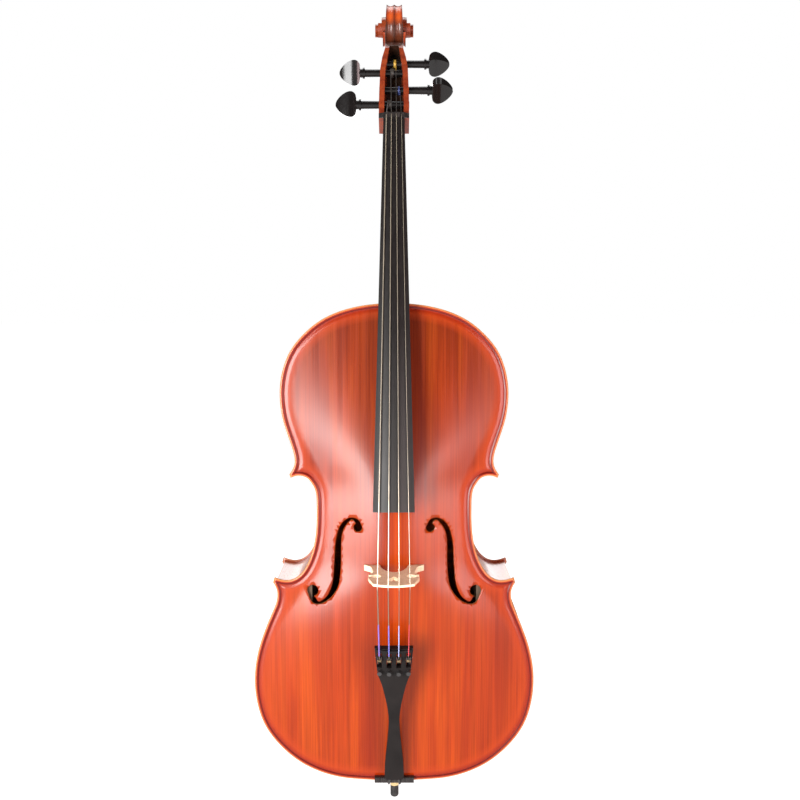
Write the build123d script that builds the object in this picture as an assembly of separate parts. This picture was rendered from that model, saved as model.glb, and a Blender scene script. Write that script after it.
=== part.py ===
from build123d import *
import math
import os

# A full-size cello, built as its separate wooden, metal and string pieces.
# Millimetres. +Z is up, the front faces -Y, the bass side is -X.
# Origin: the lowest point of the endpin's rubber tip, on the endpin axis, endpin drawn in.

# ---------------------------------------------------------------- driving dimensions
BODY_Z = 58.0               # lower end of the body above the rubber tip
BODY_LENGTH = 755.0
RIB_HALF = 59.0             # half the rib depth: the plates glue on at Y = -59 and Y = +59
EDGE_THICK = 4.5            # plates at their edge
OVERHANG = 4.0              # plate edge beyond the ribs
RIB_THICK = 1.6
LINING_THICK = 2.4
LINING_DEEP = 14.0
FRONT_ARCH = 20.5           # rise of the belly above its edge
BACK_ARCH = 22.5
PLATE_MARGIN = 13.0         # width of the flat edge before the arch begins
BRIDGE_Z = BODY_Z + 346.5   # flat back face of the bridge
BRIDGE_TALL = 90.0
NUT_POINT = (0.0, -48.5, BODY_Z + 1032.7)       # crown of the fingerboard at the nut
NECK_LEAN = math.degrees(math.atan(0.176))      # fingerboard leans back from vertical
BOARD_LENGTH = 590.0
BOARD_NUT_WIDTH = 31.8
BOARD_END_WIDTH = 61.5
BOARD_CROWN_R = 62.0
STRING_SPREAD_NUT = 7.5     # string to string at the nut
STRING_SPREAD_BRIDGE = 15.8
STRING_RADIUS = {"c": 0.85, "g": 0.68, "d": 0.55, "a": 0.40}
STRING_ORDER = {"c": -1.5, "g": -0.5, "d": 0.5, "a": 1.5}
NUT_PROUD = 1.2             # nut above the fingerboard
NUT_TALL = 7.5              # nut along the neck
HEAD_HALF = 23.0            # half width of the pegbox at the nut
HEAD_LEAN = 24.0            # pegbox leans back from vertical
PEG_ALONG = {"c": 30.0, "a": 56.0, "g": 87.5, "d": 104.0}    # from the nut, along the pegbox
PEG_SIDE = {"c": -1, "g": -1, "a": 1, "d": 1}
PEG_R = 5.6                 # mean shaft radius
PEG_CLEAR = 0.05
TAIL_TOP = (0.0, -138.5, BODY_Z + 242.0)        # top edge of the tailpiece's front face
TAIL_LEAN = 13.98
TAIL_LENGTH = 239.0
ENDPIN_R = 5.0
ENDPIN_TIP_R = 6.75
ENDPIN_TIP_TALL = 20.0
ENDPIN_ROD_LENGTH = 470.0
FERRULE_TALL = 16.0
SLIDE_CLEAR = 0.05

FRONT_GLUE = -RIB_HALF
BACK_GLUE = RIB_HALF


# ---------------------------------------------------------------- outline of the body
# Half outline, treble side: (x, height above the body's lower end, heading in degrees).
# Two tangent arcs join each pair of points.
LOWER_BOUT = [
    (0, 0, 0), (134, 22, 27), (190.5, 69.8, 52), (219.3, 163, 90), (205.7, 235.8, 110),
    (194.4, 264.7, 113.5), (182.2, 303.5, 90), (188.7, 322, 55),
]
C_BOUT = [
    (186.3, 330, 203), (167, 325.3, 180), (141.7, 339.5, 126), (126.2, 374, 105),
    (119.7, 436, 90), (121, 464.3, 80), (130.5, 483, 52), (147, 490.2, 0), (159.5, 486.8, -25),
]
UPPER_BOUT = [
    (161.4, 492.2, 128), (152.9, 513, 90), (155.8, 530, 73), (167.7, 567, 73),
    (174.9, 616, 90), (165.1, 668, 111), (126.6, 718.1, 140), (73.4, 745.5, 164),
    (0, BODY_LENGTH, 180),
]


def biarc(start, end):
    """Two tangent arcs from start to end, each as (centre, radius, start angle, sweep)."""
    p0 = Vector(start[0], start[1])
    p1 = Vector(end[0], end[1])
    t0 = Vector(math.cos(math.radians(start[2])), math.sin(math.radians(start[2])))
    t1 = Vector(math.cos(math.radians(end[2])), math.sin(math.radians(end[2])))
    v = p1 - p0
    total = t0 + t1
    denominator = 2 * (1 - t0.dot(t1))
    if denominator < 1e-9:
        reach = v.dot(v) / (4 * v.dot(t1))
    else:
        root = math.sqrt(v.dot(total) ** 2 + 2 * (1 - t0.dot(t1)) * v.dot(v))
        reach = (-v.dot(total) + root) / denominator
    middle = (p0 + t0 * reach + p1 - t1 * reach) * 0.5
    return [arc_from(p0, t0, middle), arc_from(middle, None, p1, t1)]


def arc_from(p0, t0, p1, t1=None):
    """The arc from p0 to p1 that is tangent to t0 at p0, or to t1 at p1."""
    chord = p1 - p0
    if t0 is None:
        mirrored = chord.normalized() * (2 * t1.dot(chord.normalized())) - t1
        t0 = mirrored
    normal = Vector(-t0.Y, t0.X)
    offset = 2 * chord.dot(normal)
    if abs(offset) < 1e-6:
        offset = 1e-6
    radius = chord.dot(chord) / offset
    centre = p0 + normal * radius
    a0 = math.atan2(p0.Y - centre.Y, p0.X - centre.X)
    a1 = math.atan2(p1.Y - centre.Y, p1.X - centre.X)
    sweep = a1 - a0
    while sweep * radius < 0:
        sweep += math.copysign(2 * math.pi, radius)
    while abs(sweep) > 2 * math.pi:
        sweep -= math.copysign(2 * math.pi, sweep)
    return (centre, radius, a0, sweep)


def arcs_of(points):
    """All arcs of one stretch of the outline."""
    arcs = []
    for start, end in zip(points, points[1:]):
        arcs += biarc(start, end)
    return arcs


def edges_of(arcs, inset, y=0.0):
    """The arcs moved inwards by inset, as edges at depth y."""
    edges = []
    for centre, radius, a0, sweep in arcs:
        reach = abs(radius) - math.copysign(inset, radius)
        ends = []
        for share in (0.0, 0.5, 1.0):
            angle = a0 + sweep * share
            ends.append((centre.X + reach * math.cos(angle), y,
                         BODY_Z + centre.Y + reach * math.sin(angle)))
        edges.append(ThreePointArc(*ends))
    return edges


def extended(edges, reach):
    """The edges with a straight piece added at each free end, along the tangent."""
    first = edges[0]
    last = edges[-1]
    before = Line(first @ 0 - (first % 0) * reach, first @ 0)
    after = Line(last @ 1, last @ 1 + (last % 1) * reach)
    return [before] + edges + [after]


def band(arcs, outer, inner, reach=0.0):
    """Flat strip in the plane Y = 0 between two insets of one stretch of the outline."""
    outside = edges_of(arcs, outer)
    inside = edges_of(arcs, inner)
    if reach > 0:
        outside = extended(outside, reach)
        inside = extended(inside, reach)
    cap_a = Line(outside[0] @ 0, inside[0] @ 0)
    cap_b = Line(outside[-1] @ 1, inside[-1] @ 1)
    return Face(Wire([edge.edge() for edge in outside + inside + [cap_a, cap_b]]))


LOWER = arcs_of(LOWER_BOUT)
MIDDLE = arcs_of(C_BOUT)
UPPER = arcs_of(UPPER_BOUT)
STRETCHES = {"lower": LOWER, "c": MIDDLE, "upper": UPPER}


def slab(face, y0, y1):
    """The flat face pushed out from depth y0 to depth y1."""
    return extrude(face.moved(Location((0, y0, 0))), abs(y1 - y0), dir=(0, math.copysign(1, y1 - y0), 0))


def mirrored(shape):
    return mirror(shape, about=Plane.YZ)


def both(shape):
    return shape + mirrored(shape)


def outline_face():
    lower = edges_of(LOWER, 0)
    middle = edges_of(MIDDLE, 0)
    upper = edges_of(UPPER, 0)
    tips = [Line(lower[-1] @ 1, middle[0] @ 0), Line(middle[-1] @ 1, upper[0] @ 0)]
    half = lower + middle + upper + tips
    other = [mirrored(edge).edge() for edge in half]
    return Face(Wire([edge.edge() for edge in half] + other))


OUTLINE = outline_face()


def half_box(x0, x1, z0, z1):
    """Rectangle in the plane Y = 0."""
    corners = [(x0, 0, z0), (x1, 0, z0), (x1, 0, z1), (x0, 0, z1)]
    return Face(Wire.make_polygon([Vector(*c) for c in corners], close=True))


def solids_in(shape):
    """The solids of a shape as one compound, or the only one alone."""
    found = list(shape.solids())
    if len(found) == 1:
        return found[0]
    return Compound(children=found)


def inner_block(inset, y0, y1):
    """Solid that fills the outline up to an inset, between two depths."""
    block = slab(OUTLINE, y0, y1)
    for stretch in STRETCHES.values():
        strip = slab(band(stretch, -3.0, inset, reach=14.0), min(y0, y1) - 1, max(y0, y1) + 1)
        block = block - strip - mirrored(strip)
    return max(block.solids(), key=lambda solid: solid.volume)


# ---------------------------------------------------------------- arching of the plates
ARCH_HALF_LENGTH = BODY_LENGTH / 2 - PLATE_MARGIN
ARCH_WIDTHS = [     # (height above the body's lower end, width measure of the arch)
    (-20, 325), (25, 315), (70, 267), (164, 231), (245, 192), (300, 152), (345, 118), (390, 107.5),
    (430, 105), (475, 107.5), (515, 127.5), (567, 162.5), (619, 189), (700, 223), (735, 256), (775, 268),
]


def arch_width(height):
    """Smooth curve through ARCH_WIDTHS."""
    for i in range(len(ARCH_WIDTHS) - 1):
        if height <= ARCH_WIDTHS[i + 1][0]:
            break
    before = ARCH_WIDTHS[max(i - 1, 0)]
    low = ARCH_WIDTHS[i]
    high = ARCH_WIDTHS[i + 1]
    after = ARCH_WIDTHS[min(i + 2, len(ARCH_WIDTHS) - 1)]
    span = high[0] - low[0]
    slope_low = (high[1] - before[1]) / (high[0] - before[0]) * span
    slope_high = (after[1] - low[1]) / (after[0] - low[0]) * span
    t = (height - low[0]) / span
    return (low[1] * (2 * t ** 3 - 3 * t ** 2 + 1) + slope_low * (t ** 3 - 2 * t ** 2 + t)
            + high[1] * (3 * t ** 2 - 2 * t ** 3) + slope_high * (t ** 3 - t ** 2))


def arch_radius(x, height):
    """0 at the middle of the plate, 1 where the arch meets the flat edge."""
    u = abs(height - BODY_LENGTH / 2) / ARCH_HALF_LENGTH
    v = abs(x) / arch_width(height)
    return (u ** 2.5 + v ** 2.5) ** 0.4


def arch_share(rho):
    """Rise of the arch as a share of its full rise."""
    wave = 0.5 * (1 + math.cos(math.pi * min(rho, 1.0)))
    return 0.6 * wave + 0.4 * (1 - rho ** 2)


def arch_surface(rise_of):
    """Smooth surface at rise_of(rho) in front of the front glue plane."""
    rows = []
    for i in range(43):
        x = -231.0 + 11.0 * i
        row = []
        for j in range(66):
            height = -12.0 + 12.0 * j
            rise = rise_of(arch_radius(x, height))
            row.append(Vector(x, FRONT_GLUE - rise, BODY_Z + height))
        rows.append(row)
    return Face.make_surface_from_array_of_points(rows, tol=0.02, min_deg=3, max_deg=3)


def front_outer(rho):
    return EDGE_THICK + FRONT_ARCH * arch_share(rho)


def front_inner(rho):
    return FRONT_ARCH * arch_share(rho)


def back_outer(rho):
    return EDGE_THICK + BACK_ARCH * arch_share(rho)


def back_inner(rho):
    return (BACK_ARCH - 2.0) * arch_share(rho)


def under(rise_of, deep):
    """Solid from an arch surface inwards by deep, on the front's side."""
    return extrude(arch_surface(rise_of), deep, dir=(0, 1, 0))


def to_back(shape):
    """The same shape on the back's side."""
    return mirror(shape, about=Plane.XZ)


FRONT_HOLLOW = under(front_inner, 100)
BACK_HOLLOW = to_back(under(back_inner, 100))


def arched_plate(outer_rise, inner_rise):
    """Edge board with the arch on it, hollowed from inside, on the front's side."""
    board = slab(OUTLINE, FRONT_GLUE, FRONT_GLUE - EDGE_THICK)
    cap = inner_block(6.5, FRONT_GLUE - 0.5 * EDGE_THICK, FRONT_GLUE - 40)
    dome = under(outer_rise, 50) & cap
    return solids_in((board + dome) - under(inner_rise, 100))


# ---------------------------------------------------------------- f-holes
UPPER_EYE = (55.7, 411.9, 6.7)      # x, height, radius
LOWER_EYE = (126.5, 310.2, 8.8)
F_FAR_SIDE = [(49.3, 413.5), (54.2, 423.3), (62.5, 427), (73, 424.4), (84.1, 411.6), (90.7, 386.4),
              (93.1, 348.9), (95.9, 322.4), (103, 304.5), (112.9, 295.2), (118.3, 294.2), (122.6, 300.2)]
F_NEAR_SIDE = [(58.8, 418.2), (62.5, 423), (67.9, 421.8), (77.6, 408.4), (81.6, 390.8), (82.2, 354.4),
               (85.1, 324.6), (92, 308), (104.2, 295.2), (118, 289.2), (128.1, 292.8), (135.2, 308)]
F_NICKS = [(93.0, 358.0), (82.1, 351.5)]     # small cuts that mark the bridge line


def at_height(points):
    return [(x, 0, BODY_Z + height) for x, height in points]


def f_hole():
    """The treble f-hole as a prism through the front."""
    far = Spline(*at_height(F_FAR_SIDE))
    near = Spline(*at_height(F_NEAR_SIDE))
    body = Face(Wire([far, near, Line(far @ 0, near @ 0), Line(far @ 1, near @ 1)]))
    cut = slab(body, -50, -95)
    for x, height, radius in (UPPER_EYE, LOWER_EYE):
        cut += Pos(x, -72.5, BODY_Z + height) * Rot(90, 0, 0) * Cylinder(radius, 45)
    for x, height in F_NICKS:
        cut += Pos(x, -72.5, BODY_Z + height) * Rot(0, 45, 0) * Box(2.2, 45, 2.2)
    return cut


# ---------------------------------------------------------------- neck frame
# Local frame of the fingerboard: x across, y towards the back, z up along the board.
BOARD_PLANE = Plane(origin=NUT_POINT, x_dir=(1, 0, 0),
                    z_dir=(0, math.sin(math.radians(NECK_LEAN)), math.cos(math.radians(NECK_LEAN))))


def board_width(along):
    """Width of the fingerboard at a distance below the nut."""
    return BOARD_NUT_WIDTH + (BOARD_END_WIDTH - BOARD_NUT_WIDTH) * along / BOARD_LENGTH


def crown_drop(half_width):
    return BOARD_CROWN_R - math.sqrt(BOARD_CROWN_R ** 2 - half_width ** 2)


def board_under(along):
    """Depth of the glue face below the crown."""
    return 6.0 + crown_drop(board_width(along) / 2)


def in_board(x, y, z):
    return BOARD_PLANE.from_local_coords(Vector(x, y, z))


def board_section(along, side_thick, hollow=0.0):
    half = board_width(along) / 2
    drop = crown_drop(half)
    deep = drop + side_thick
    a = in_board(-half, drop, -along)
    b = in_board(half, drop, -along)
    top = ThreePointArc(a, in_board(0, 0, -along), b)
    c = in_board(half, deep, -along)
    d = in_board(-half, deep, -along)
    if hollow > 0:
        low = ThreePointArc(c, in_board(0, deep - hollow, -along), d)
    else:
        low = Line(c, d)
    return Wire([top, Line(b, c), low, Line(d, a)])


def make_fingerboard():
    neck_part = Solid.make_loft([board_section(0, 6.0), board_section(295, 6.0)], ruled=True)
    free_part = Solid.make_loft([board_section(295, 6.0, 3.2), board_section(BOARD_LENGTH, 6.0, 4.6)], ruled=True)
    return solids_in(neck_part + free_part)


def make_nut():
    """Ebony nut: a curved bar across the end of the fingerboard, a little above it."""
    half = BOARD_NUT_WIDTH / 2
    drop = crown_drop(half)
    a = in_board(-half, drop - NUT_PROUD, 0)
    b = in_board(half, drop - NUT_PROUD, 0)
    top = ThreePointArc(a, in_board(0, -NUT_PROUD, 0), b)
    rest = Polyline(b, in_board(HEAD_HALF, drop + 2.5, 0), in_board(HEAD_HALF, board_under(0), 0),
                    in_board(-HEAD_HALF, board_under(0), 0), in_board(-HEAD_HALF, drop + 2.5, 0), a)
    face = Face(Wire([top.edge()] + list(rest.edges())))
    return extrude(face, NUT_TALL, dir=BOARD_PLANE.z_dir)


# Neck: level sections (height above the body's lower end, depth of the back surface, half width, fullness)
def board_face_y(height):
    """Depth (Y) of the neck's front face at a height above the body's lower end."""
    along = (NUT_POINT[2] - BODY_Z - height) / math.cos(math.radians(NECK_LEAN))
    front = NUT_POINT[1] - along * math.sin(math.radians(NECK_LEAN))
    return front + board_under(along) / math.cos(math.radians(NECK_LEAN))


GLUE_FACE_SPARE = 0.6       # wood planed off where the fingerboard sits
NECK_SECTIONS = [       # height, thickness front to back, half width at the front, back narrowing
    (1046, 25.5, 15.9, 0.52), (1030, 22.0, 15.9, 0.50), (1005, 20.5, 16.4, 0.50), (930, 21.8, 18.3, 0.50),
    (850, 23.5, 20.4, 0.50), (815, 26.5, 21.4, 0.50), (800, 32.5, 21.8, 0.48), (788, 46.0, 22.1, 0.46),
    (779, 74.0, 22.4, 0.44), (773, 118.0, 22.5, 0.44), (766, 150.0, 22.7, 0.46), (755, 168.0, 22.9, 0.48),
    (738, 176.0, 23.2, 0.48),
]


def neck_wire(height, thick, half, narrowing):
    """Level D-shaped section: flat in front, round at the back."""
    front = board_face_y(height) - GLUE_FACE_SPARE
    thick = thick + GLUE_FACE_SPARE
    z = BODY_Z + height
    points = []
    for k in range(9):
        angle = math.pi * k / 8
        x = half * math.copysign(abs(math.cos(angle)) ** 0.75, math.cos(angle))
        y = front + thick * math.sin(angle) ** 0.85
        squeeze = 1 - narrowing * 0.5 * max(0.0, min(1.0, (y - front - 25) / 90))
        points.append((x * squeeze, y, z))
    points[0] = (half, front, z)
    points[-1] = (-half, front, z)
    curve = Spline(*points)
    return Wire([curve, Line(points[-1], points[0])])


def make_neck_body():
    wires = [neck_wire(*section) for section in NECK_SECTIONS]
    body = Solid.make_loft(wires[::-1], ruled=False)
    # the root behind the ribs' line is cut square, and the heel stops at the back plate
    cut_back = Pos(0, BACK_GLUE + 100, BODY_Z + 760) * Box(120, 200, 200)
    cut_root = Pos(0, 40, BODY_Z + BODY_LENGTH - 8 - 100) * Box(200, 420, 200)
    return solids_in(body - cut_back - cut_root)


# ---------------------------------------------------------------- head: pegbox and scroll
# Local frame of the head: x across, y towards the back, z up along the pegbox's front edge.
HEAD_ORIGIN = in_board(0, board_under(0) - 3.0, 4.0)
HEAD_PLANE = Plane(origin=HEAD_ORIGIN, x_dir=(1, 0, 0),
                   z_dir=(0, math.sin(math.radians(HEAD_LEAN)), math.cos(math.radians(HEAD_LEAN))))
VOLUTE_Y = 30.0             # volute centre, in the head frame
VOLUTE_Z = 180.0
SPIRAL_START = 40.0         # radius at the top of the outer turn
SPIRAL_RATE = 0.105         # radius falls by this share for each radian
TURNS = [                   # half turns from the top where a wider turn begins, its half width
    (0.75, 18.0), (1.75, 20.0), (2.5, 25.5), (3.0, 30.3),
]
TURN_SHRINK = 0.5           # each wider turn lies this much inside the one before
FRONT_HALF_WIDTHS = [       # half width of the head's front part, height along it
    (15.9, -40), (15.9, -4.2), (HEAD_HALF, -4.0), (22.6, 40), (21.2, 84), (18.3, 105), (14.2, 121),
    (13.6, 150), (13.0, 180), (11.5, 222),
]
BACK_HALF_WIDTHS = [        # the same behind the pegs
    (15.9, -40), (15.9, -4.2), (HEAD_HALF, -4.0), (21.5, 40), (19.0, 84), (15.0, 121), (13.5, 150),
    (12.5, 180), (11.5, 222),
]
HEAD_SPLIT = 24.0           # depth where the back widths take over
HEAD_FRONT = -40.0          # a depth in front of the whole head
PEGBOX_DEEP = 33.0          # floor of the channel behind the pegbox's front edge


def head_point(y, z, x=0.0):
    return HEAD_PLANE.from_local_coords(Vector(x, y, z))


def head_half_width(height):
    """Half width of the pegbox at a height along it."""
    for (low_half, low), (high_half, high) in zip(FRONT_HALF_WIDTHS, FRONT_HALF_WIDTHS[1:]):
        if low <= height <= high:
            return low_half + (high_half - low_half) * (height - low) / (high - low)


def spiral_radius(turned):
    """Radius of the volute after turning forwards and down from the top by an angle."""
    return SPIRAL_START * math.exp(-SPIRAL_RATE * turned)


def spiral_edge(start, stop, x, shrink):
    """Spline along the spiral between two angles. Angle 0 is the top, growing to the front."""
    points = []
    count = max(3, round((stop - start) / 0.5))
    for k in range(count + 1):
        turned = start + (stop - start) * k / count
        radius = spiral_radius(turned) - shrink
        points.append(head_point(VOLUTE_Y - radius * math.sin(turned),
                                 VOLUTE_Z + radius * math.cos(turned), x))
    return Spline(*points)


def volute_slab(start, half_width, shrink):
    """One full turn of the spiral from an angle, closed by a step, pushed out to both sides."""
    edge = spiral_edge(start, start + 2 * math.pi, -half_width, shrink)
    face = Face(Wire([edge, Line(edge @ 1, edge @ 0)]))
    return extrude(face, 2 * half_width, dir=(1, 0, 0))


def make_head_body():
    """Solid side profile of pegbox, throat and outer turn, narrowed towards the throat."""
    back = Spline(head_point(26, -26), head_point(43, 0), head_point(48, 30), head_point(46, 75),
                  head_point(44, 108), head_point(52, 132), head_point(66, 156), head_point(70, 182),
                  head_point(58, 210), head_point(30, 220))
    middle = Line(back @ 1, head_point(30, 152))
    chin = Spline(middle @ 1, head_point(20, 148), head_point(11, 141), head_point(4, 131), head_point(0, 122))
    front = Line(head_point(0, 122), head_point(0, -4))
    base = Line(head_point(0, -4), head_point(8, -30))
    foot = Line(head_point(8, -30), head_point(26, -26))
    profile = Face(Wire([back, middle, chin, front, base, foot]))
    body = extrude(profile.moved(Location((-40, 0, 0))), 80, dir=(1, 0, 0)) + volute_slab(0, 40, 0)
    keep = head_plan(FRONT_HALF_WIDTHS, HEAD_FRONT, HEAD_SPLIT) + head_plan(BACK_HALF_WIDTHS, HEAD_SPLIT, 100)
    return solids_in(body & keep)


def head_plan(half_widths, y0, y1):
    """Both sides of a list of half widths, as a block between two depths of the head."""
    right = [head_point(y0, z, x) for x, z in half_widths]
    left = [head_point(y0, z, -x) for x, z in reversed(half_widths)]
    return extrude(Face(Wire.make_polygon(right + left, close=True)), y1 - y0, dir=HEAD_PLANE.y_dir)


def pegbox_room():
    """The open channel between the pegbox cheeks."""
    half_widths = [(15.0, 3.5), (14.6, 40), (13.2, 84), (10.0, 105), (7.0, 128)]
    return head_plan(half_widths, HEAD_FRONT, PEGBOX_DEEP)


def make_neck(pieces_let_in):
    neck = make_neck_body() + make_head_body()
    for index, (half_turns, half_width) in enumerate(TURNS):
        neck += volute_slab(math.pi * half_turns, half_width, TURN_SHRINK * (index + 1))
    neck -= pegbox_room()
    seat_corners = [in_board(-40, -8, 0), in_board(40, -8, 0), in_board(40, board_under(0), 0),
                    in_board(-40, board_under(0), 0)]
    neck -= extrude(Face(Wire.make_polygon(seat_corners, close=True)), NUT_TALL, dir=BOARD_PLANE.z_dir)
    for piece in pieces_let_in:
        neck -= piece
    return solids_in(neck)


# ---------------------------------------------------------------- pegs
PEG_DEEP = 16.0             # peg axis behind the pegbox's front edge
PEG_PROUD = 0.6             # peg's thin end beyond the far cheek
PEG_HEAD_TURN = {"c": 0.0, "g": 8.0, "d": 62.0, "a": 52.0}
PEG_HEAD_START = {"c": 57.0, "g": 52.0, "d": 53.5, "a": 58.0}      # inner face of the head, from the middle
PEG_HEAD_LONG = 32.5
PEG_HEAD_HALF = 19.5
PEG_HEAD_THICK = 15.0


def peg_centre(name):
    return head_point(PEG_DEEP, PEG_ALONG[name])


def peg_radius(x):
    """Tapered shaft, x measured outwards on the head's side."""
    return PEG_R + 0.014 * x


def peg_shaft(name, extra):
    """Revolved shaft with its collar. extra is added to the radius for the bore."""
    side = PEG_SIDE[name]
    centre = peg_centre(name)
    start = -head_half_width(PEG_ALONG[name]) - PEG_PROUD
    stop = PEG_HEAD_START[name]
    profile = [(start, 0), (start, peg_radius(start) + extra), (stop, peg_radius(stop) + extra), (stop, 0)]
    if extra == 0:
        profile[2:3] = [(stop - 7, peg_radius(stop) - 0.4), (stop - 7, 8.2), (stop - 3.5, 8.2),
                        (stop - 3.5, 6.6), (stop + 3, 6.6)]
        profile[-1] = (stop + 3, 0)
    points = [centre + Vector(side * x, -r, 0) for x, r in profile]
    face = Face(Wire.make_polygon(points, close=True))
    return revolve(face, Axis(centre, (1, 0, 0)), 360)


def peg_head(name):
    """Thumb piece: a thick D with rounded corners, turned about the peg's axis."""
    side = PEG_SIDE[name]
    start = PEG_HEAD_START[name]
    half = PEG_HEAD_HALF
    far = PEG_HEAD_LONG
    curve = Spline((1.5, 0, half * 0.72), (8, 0, half * 0.98), (18, 0, half * 0.86), (27, 0, half * 0.52),
                   (far, 0, 0), (27, 0, -half * 0.52), (18, 0, -half * 0.86), (8, 0, -half * 0.98),
                   (1.5, 0, -half * 0.72))
    back = ThreePointArc(curve @ 1, (0, 0, 0), curve @ 0)
    blank = extrude(Face(Wire([curve.edge(), back.edge()])), PEG_HEAD_THICK, both=True, dir=(0, 1, 0))
    thick = PEG_HEAD_THICK / 2
    cheek = Spline((-1, thick * 0.7, 0), (6, thick, 0), (20, thick * 0.85, 0), (far + 1, 0, 0),
                   (20, -thick * 0.85, 0), (6, -thick, 0), (-1, -thick * 0.7, 0))
    lens = Face(Wire([cheek.edge(), Line(cheek @ 1, cheek @ 0).edge()]))
    blank = blank & extrude(lens, half + 2, both=True, dir=(0, 0, 1))
    turned = Rot(PEG_HEAD_TURN[name], 0, 0) * blank
    if side < 0:
        turned = mirrored(turned)
    return turned.moved(Location(peg_centre(name) + Vector(side * start, 0, 0)))


def make_peg(name):
    return solids_in(peg_shaft(name, 0) + peg_head(name))


# ---------------------------------------------------------------- bridge
BELLY_Y = -(RIB_HALF + EDGE_THICK + FRONT_ARCH)
CROWN_HALF = 30.15
CROWN_R = 62.0


def bridge_drop(x):
    return CROWN_R - math.sqrt(CROWN_R ** 2 - x ** 2)


def make_bridge(strings):
    side_low = [(45.8, -10), (45.8, -2.5), (41.0, 2.5), (35.5, 9), (32.6, 20), (31.2, 30), (33.0, 37), (37.5, 41)]
    side_high = [(37.5, 46), (37.8, 55), (35.4, 65), (32.4, 74), (CROWN_HALF, BRIDGE_TALL - bridge_drop(CROWN_HALF))]
    arch = [(-22.5, -10), (-21.5, 1), (-17.0, 18), (-9.5, 28.5), (0, 32), (9.5, 28.5), (17.0, 18), (21.5, 1), (22.5, -10)]

    def at(x, tall):
        return (x, BELLY_Y - tall, BRIDGE_Z)

    def side(sign):
        foot = Line(at(sign * 45.8, -10), at(sign * 45.8, -2.5))
        low = Spline(*[at(sign * x, tall) for x, tall in side_low[1:]])
        hook = Line(at(sign * 37.5, 41), at(sign * 37.5, 46))
        high = Spline(*[at(sign * x, tall) for x, tall in side_high])
        sole = Line(at(sign * 22.5, -10), at(sign * 45.8, -10))
        return [foot, low, hook, high, sole]

    crown = ThreePointArc(at(-CROWN_HALF, side_high[-1][1]), at(0, BRIDGE_TALL), at(CROWN_HALF, side_high[-1][1]))
    under_arch = Spline(*[at(x, tall) for x, tall in arch])
    edges = [crown, under_arch] + side(1) + side(-1)
    plate = extrude(Face(Wire([edge.edge() for edge in edges])), 11, dir=(0, 0, 1))
    wedge_points = [(-60, 0), (BELLY_Y - 95, 0), (BELLY_Y - 95, 2.6), (BELLY_Y - 4, 8.8), (-60, 8.8)]
    wedge = Face(Wire.make_polygon([Vector(-60, y, BRIDGE_Z + z) for y, z in wedge_points], close=True))
    bridge = plate & extrude(wedge, 120, dir=(1, 0, 0))
    for sign in (-1, 1):
        bridge -= Pos(sign * 26, BELLY_Y - 50, BRIDGE_Z + 5) * Cylinder(7.2, 20)
        bridge -= Pos(sign * 34, BELLY_Y - 48.5, BRIDGE_Z + 5) * Box(16, 5, 20)
        bridge -= Pos(sign * 4.2, BELLY_Y - 66, BRIDGE_Z + 5) * Cylinder(4.8, 20)
    heart = [Vector(-8.4, BELLY_Y - 64.5, BRIDGE_Z - 5), Vector(8.4, BELLY_Y - 64.5, BRIDGE_Z - 5),
             Vector(0, BELLY_Y - 50, BRIDGE_Z - 5)]
    bridge -= extrude(Face(Wire.make_polygon(heart, close=True)), 30, dir=(0, 0, 1))
    bridge -= under(front_outer, 50)
    for string in strings:
        bridge -= string
    return solids_in(bridge)


# ---------------------------------------------------------------- tailpiece and fine tuners
# Local frame of the tailpiece: x across, y up along it, z outwards (to the front).
TAIL_PLANE = Plane(origin=TAIL_TOP, x_dir=(1, 0, 0),
                   z_dir=(0, -math.cos(math.radians(TAIL_LEAN)), -math.sin(math.radians(TAIL_LEAN))))
TAIL_THICK = 10.5
TAIL_CROWN_R = 110.0
TAIL_HALF_WIDTHS = [(29.0, 0), (24.8, -46), (18.3, -64), (13.6, -85), (9.9, -106), (8.3, -130), (8.8, -147),
                    (11.0, -174), (13.6, -202), (15.0, -229)]
TUNER_STEP = 14.5           # from one tuner to the next
TUNER_SLOT_HALF = 3.6
LEVER_HALF = 3.2
PIVOT = (-18.0, -6.0)       # lever pin, (y, z) in the tailpiece frame
PIVOT_R = 1.25
BALL = (-18.05, 3.0)        # ball end, (y, z)
BALL_R = 3.0
SCREW_Y = -38.0
SCREW_R = 1.7
SCREW_TIP_Z = -14.2
SCREW_TRAVEL = 2.5          # each way from mid travel
KNOB_LOW_Z = 3.3
KNOB_TALL = 5.5
KNOB_R = 3.4
LEVER_PROFILE = [(-12, 5.5), (-12.5, -3), (-14, -9), (-15, -15), (-43, -18), (-43, -15.2), (-27, -13.2),
                 (-24, -4), (-22, -1.2), (-15, -0.8), (-15, 5.5)]


def in_tail(x, y, z):
    return TAIL_PLANE.from_local_coords(Vector(x, y, z))


def tuner_x(name):
    return STRING_ORDER[name] * TUNER_STEP


def tuner_drop(name):
    """The outer tuners sit a little deeper, because the tailpiece is crowned."""
    return 1.2 if abs(STRING_ORDER[name]) > 1 else 0.0


def tail_box(x0, x1, y0, y1, z0, z1):
    box = Pos((x0 + x1) / 2, (y0 + y1) / 2, (z0 + z1) / 2) * Box(x1 - x0, y1 - y0, z1 - z0)
    return TAIL_PLANE.location * box


def tail_rod(x, y, z0, z1, radius):
    rod = Pos(x, y, (z0 + z1) / 2) * Cylinder(radius, z1 - z0)
    return TAIL_PLANE.location * rod


def cross_rod(x, half, y, z, radius):
    rod = Pos(x, y, z) * Rot(0, 90, 0) * Cylinder(radius, 2 * half)
    return TAIL_PLANE.location * rod


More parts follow.
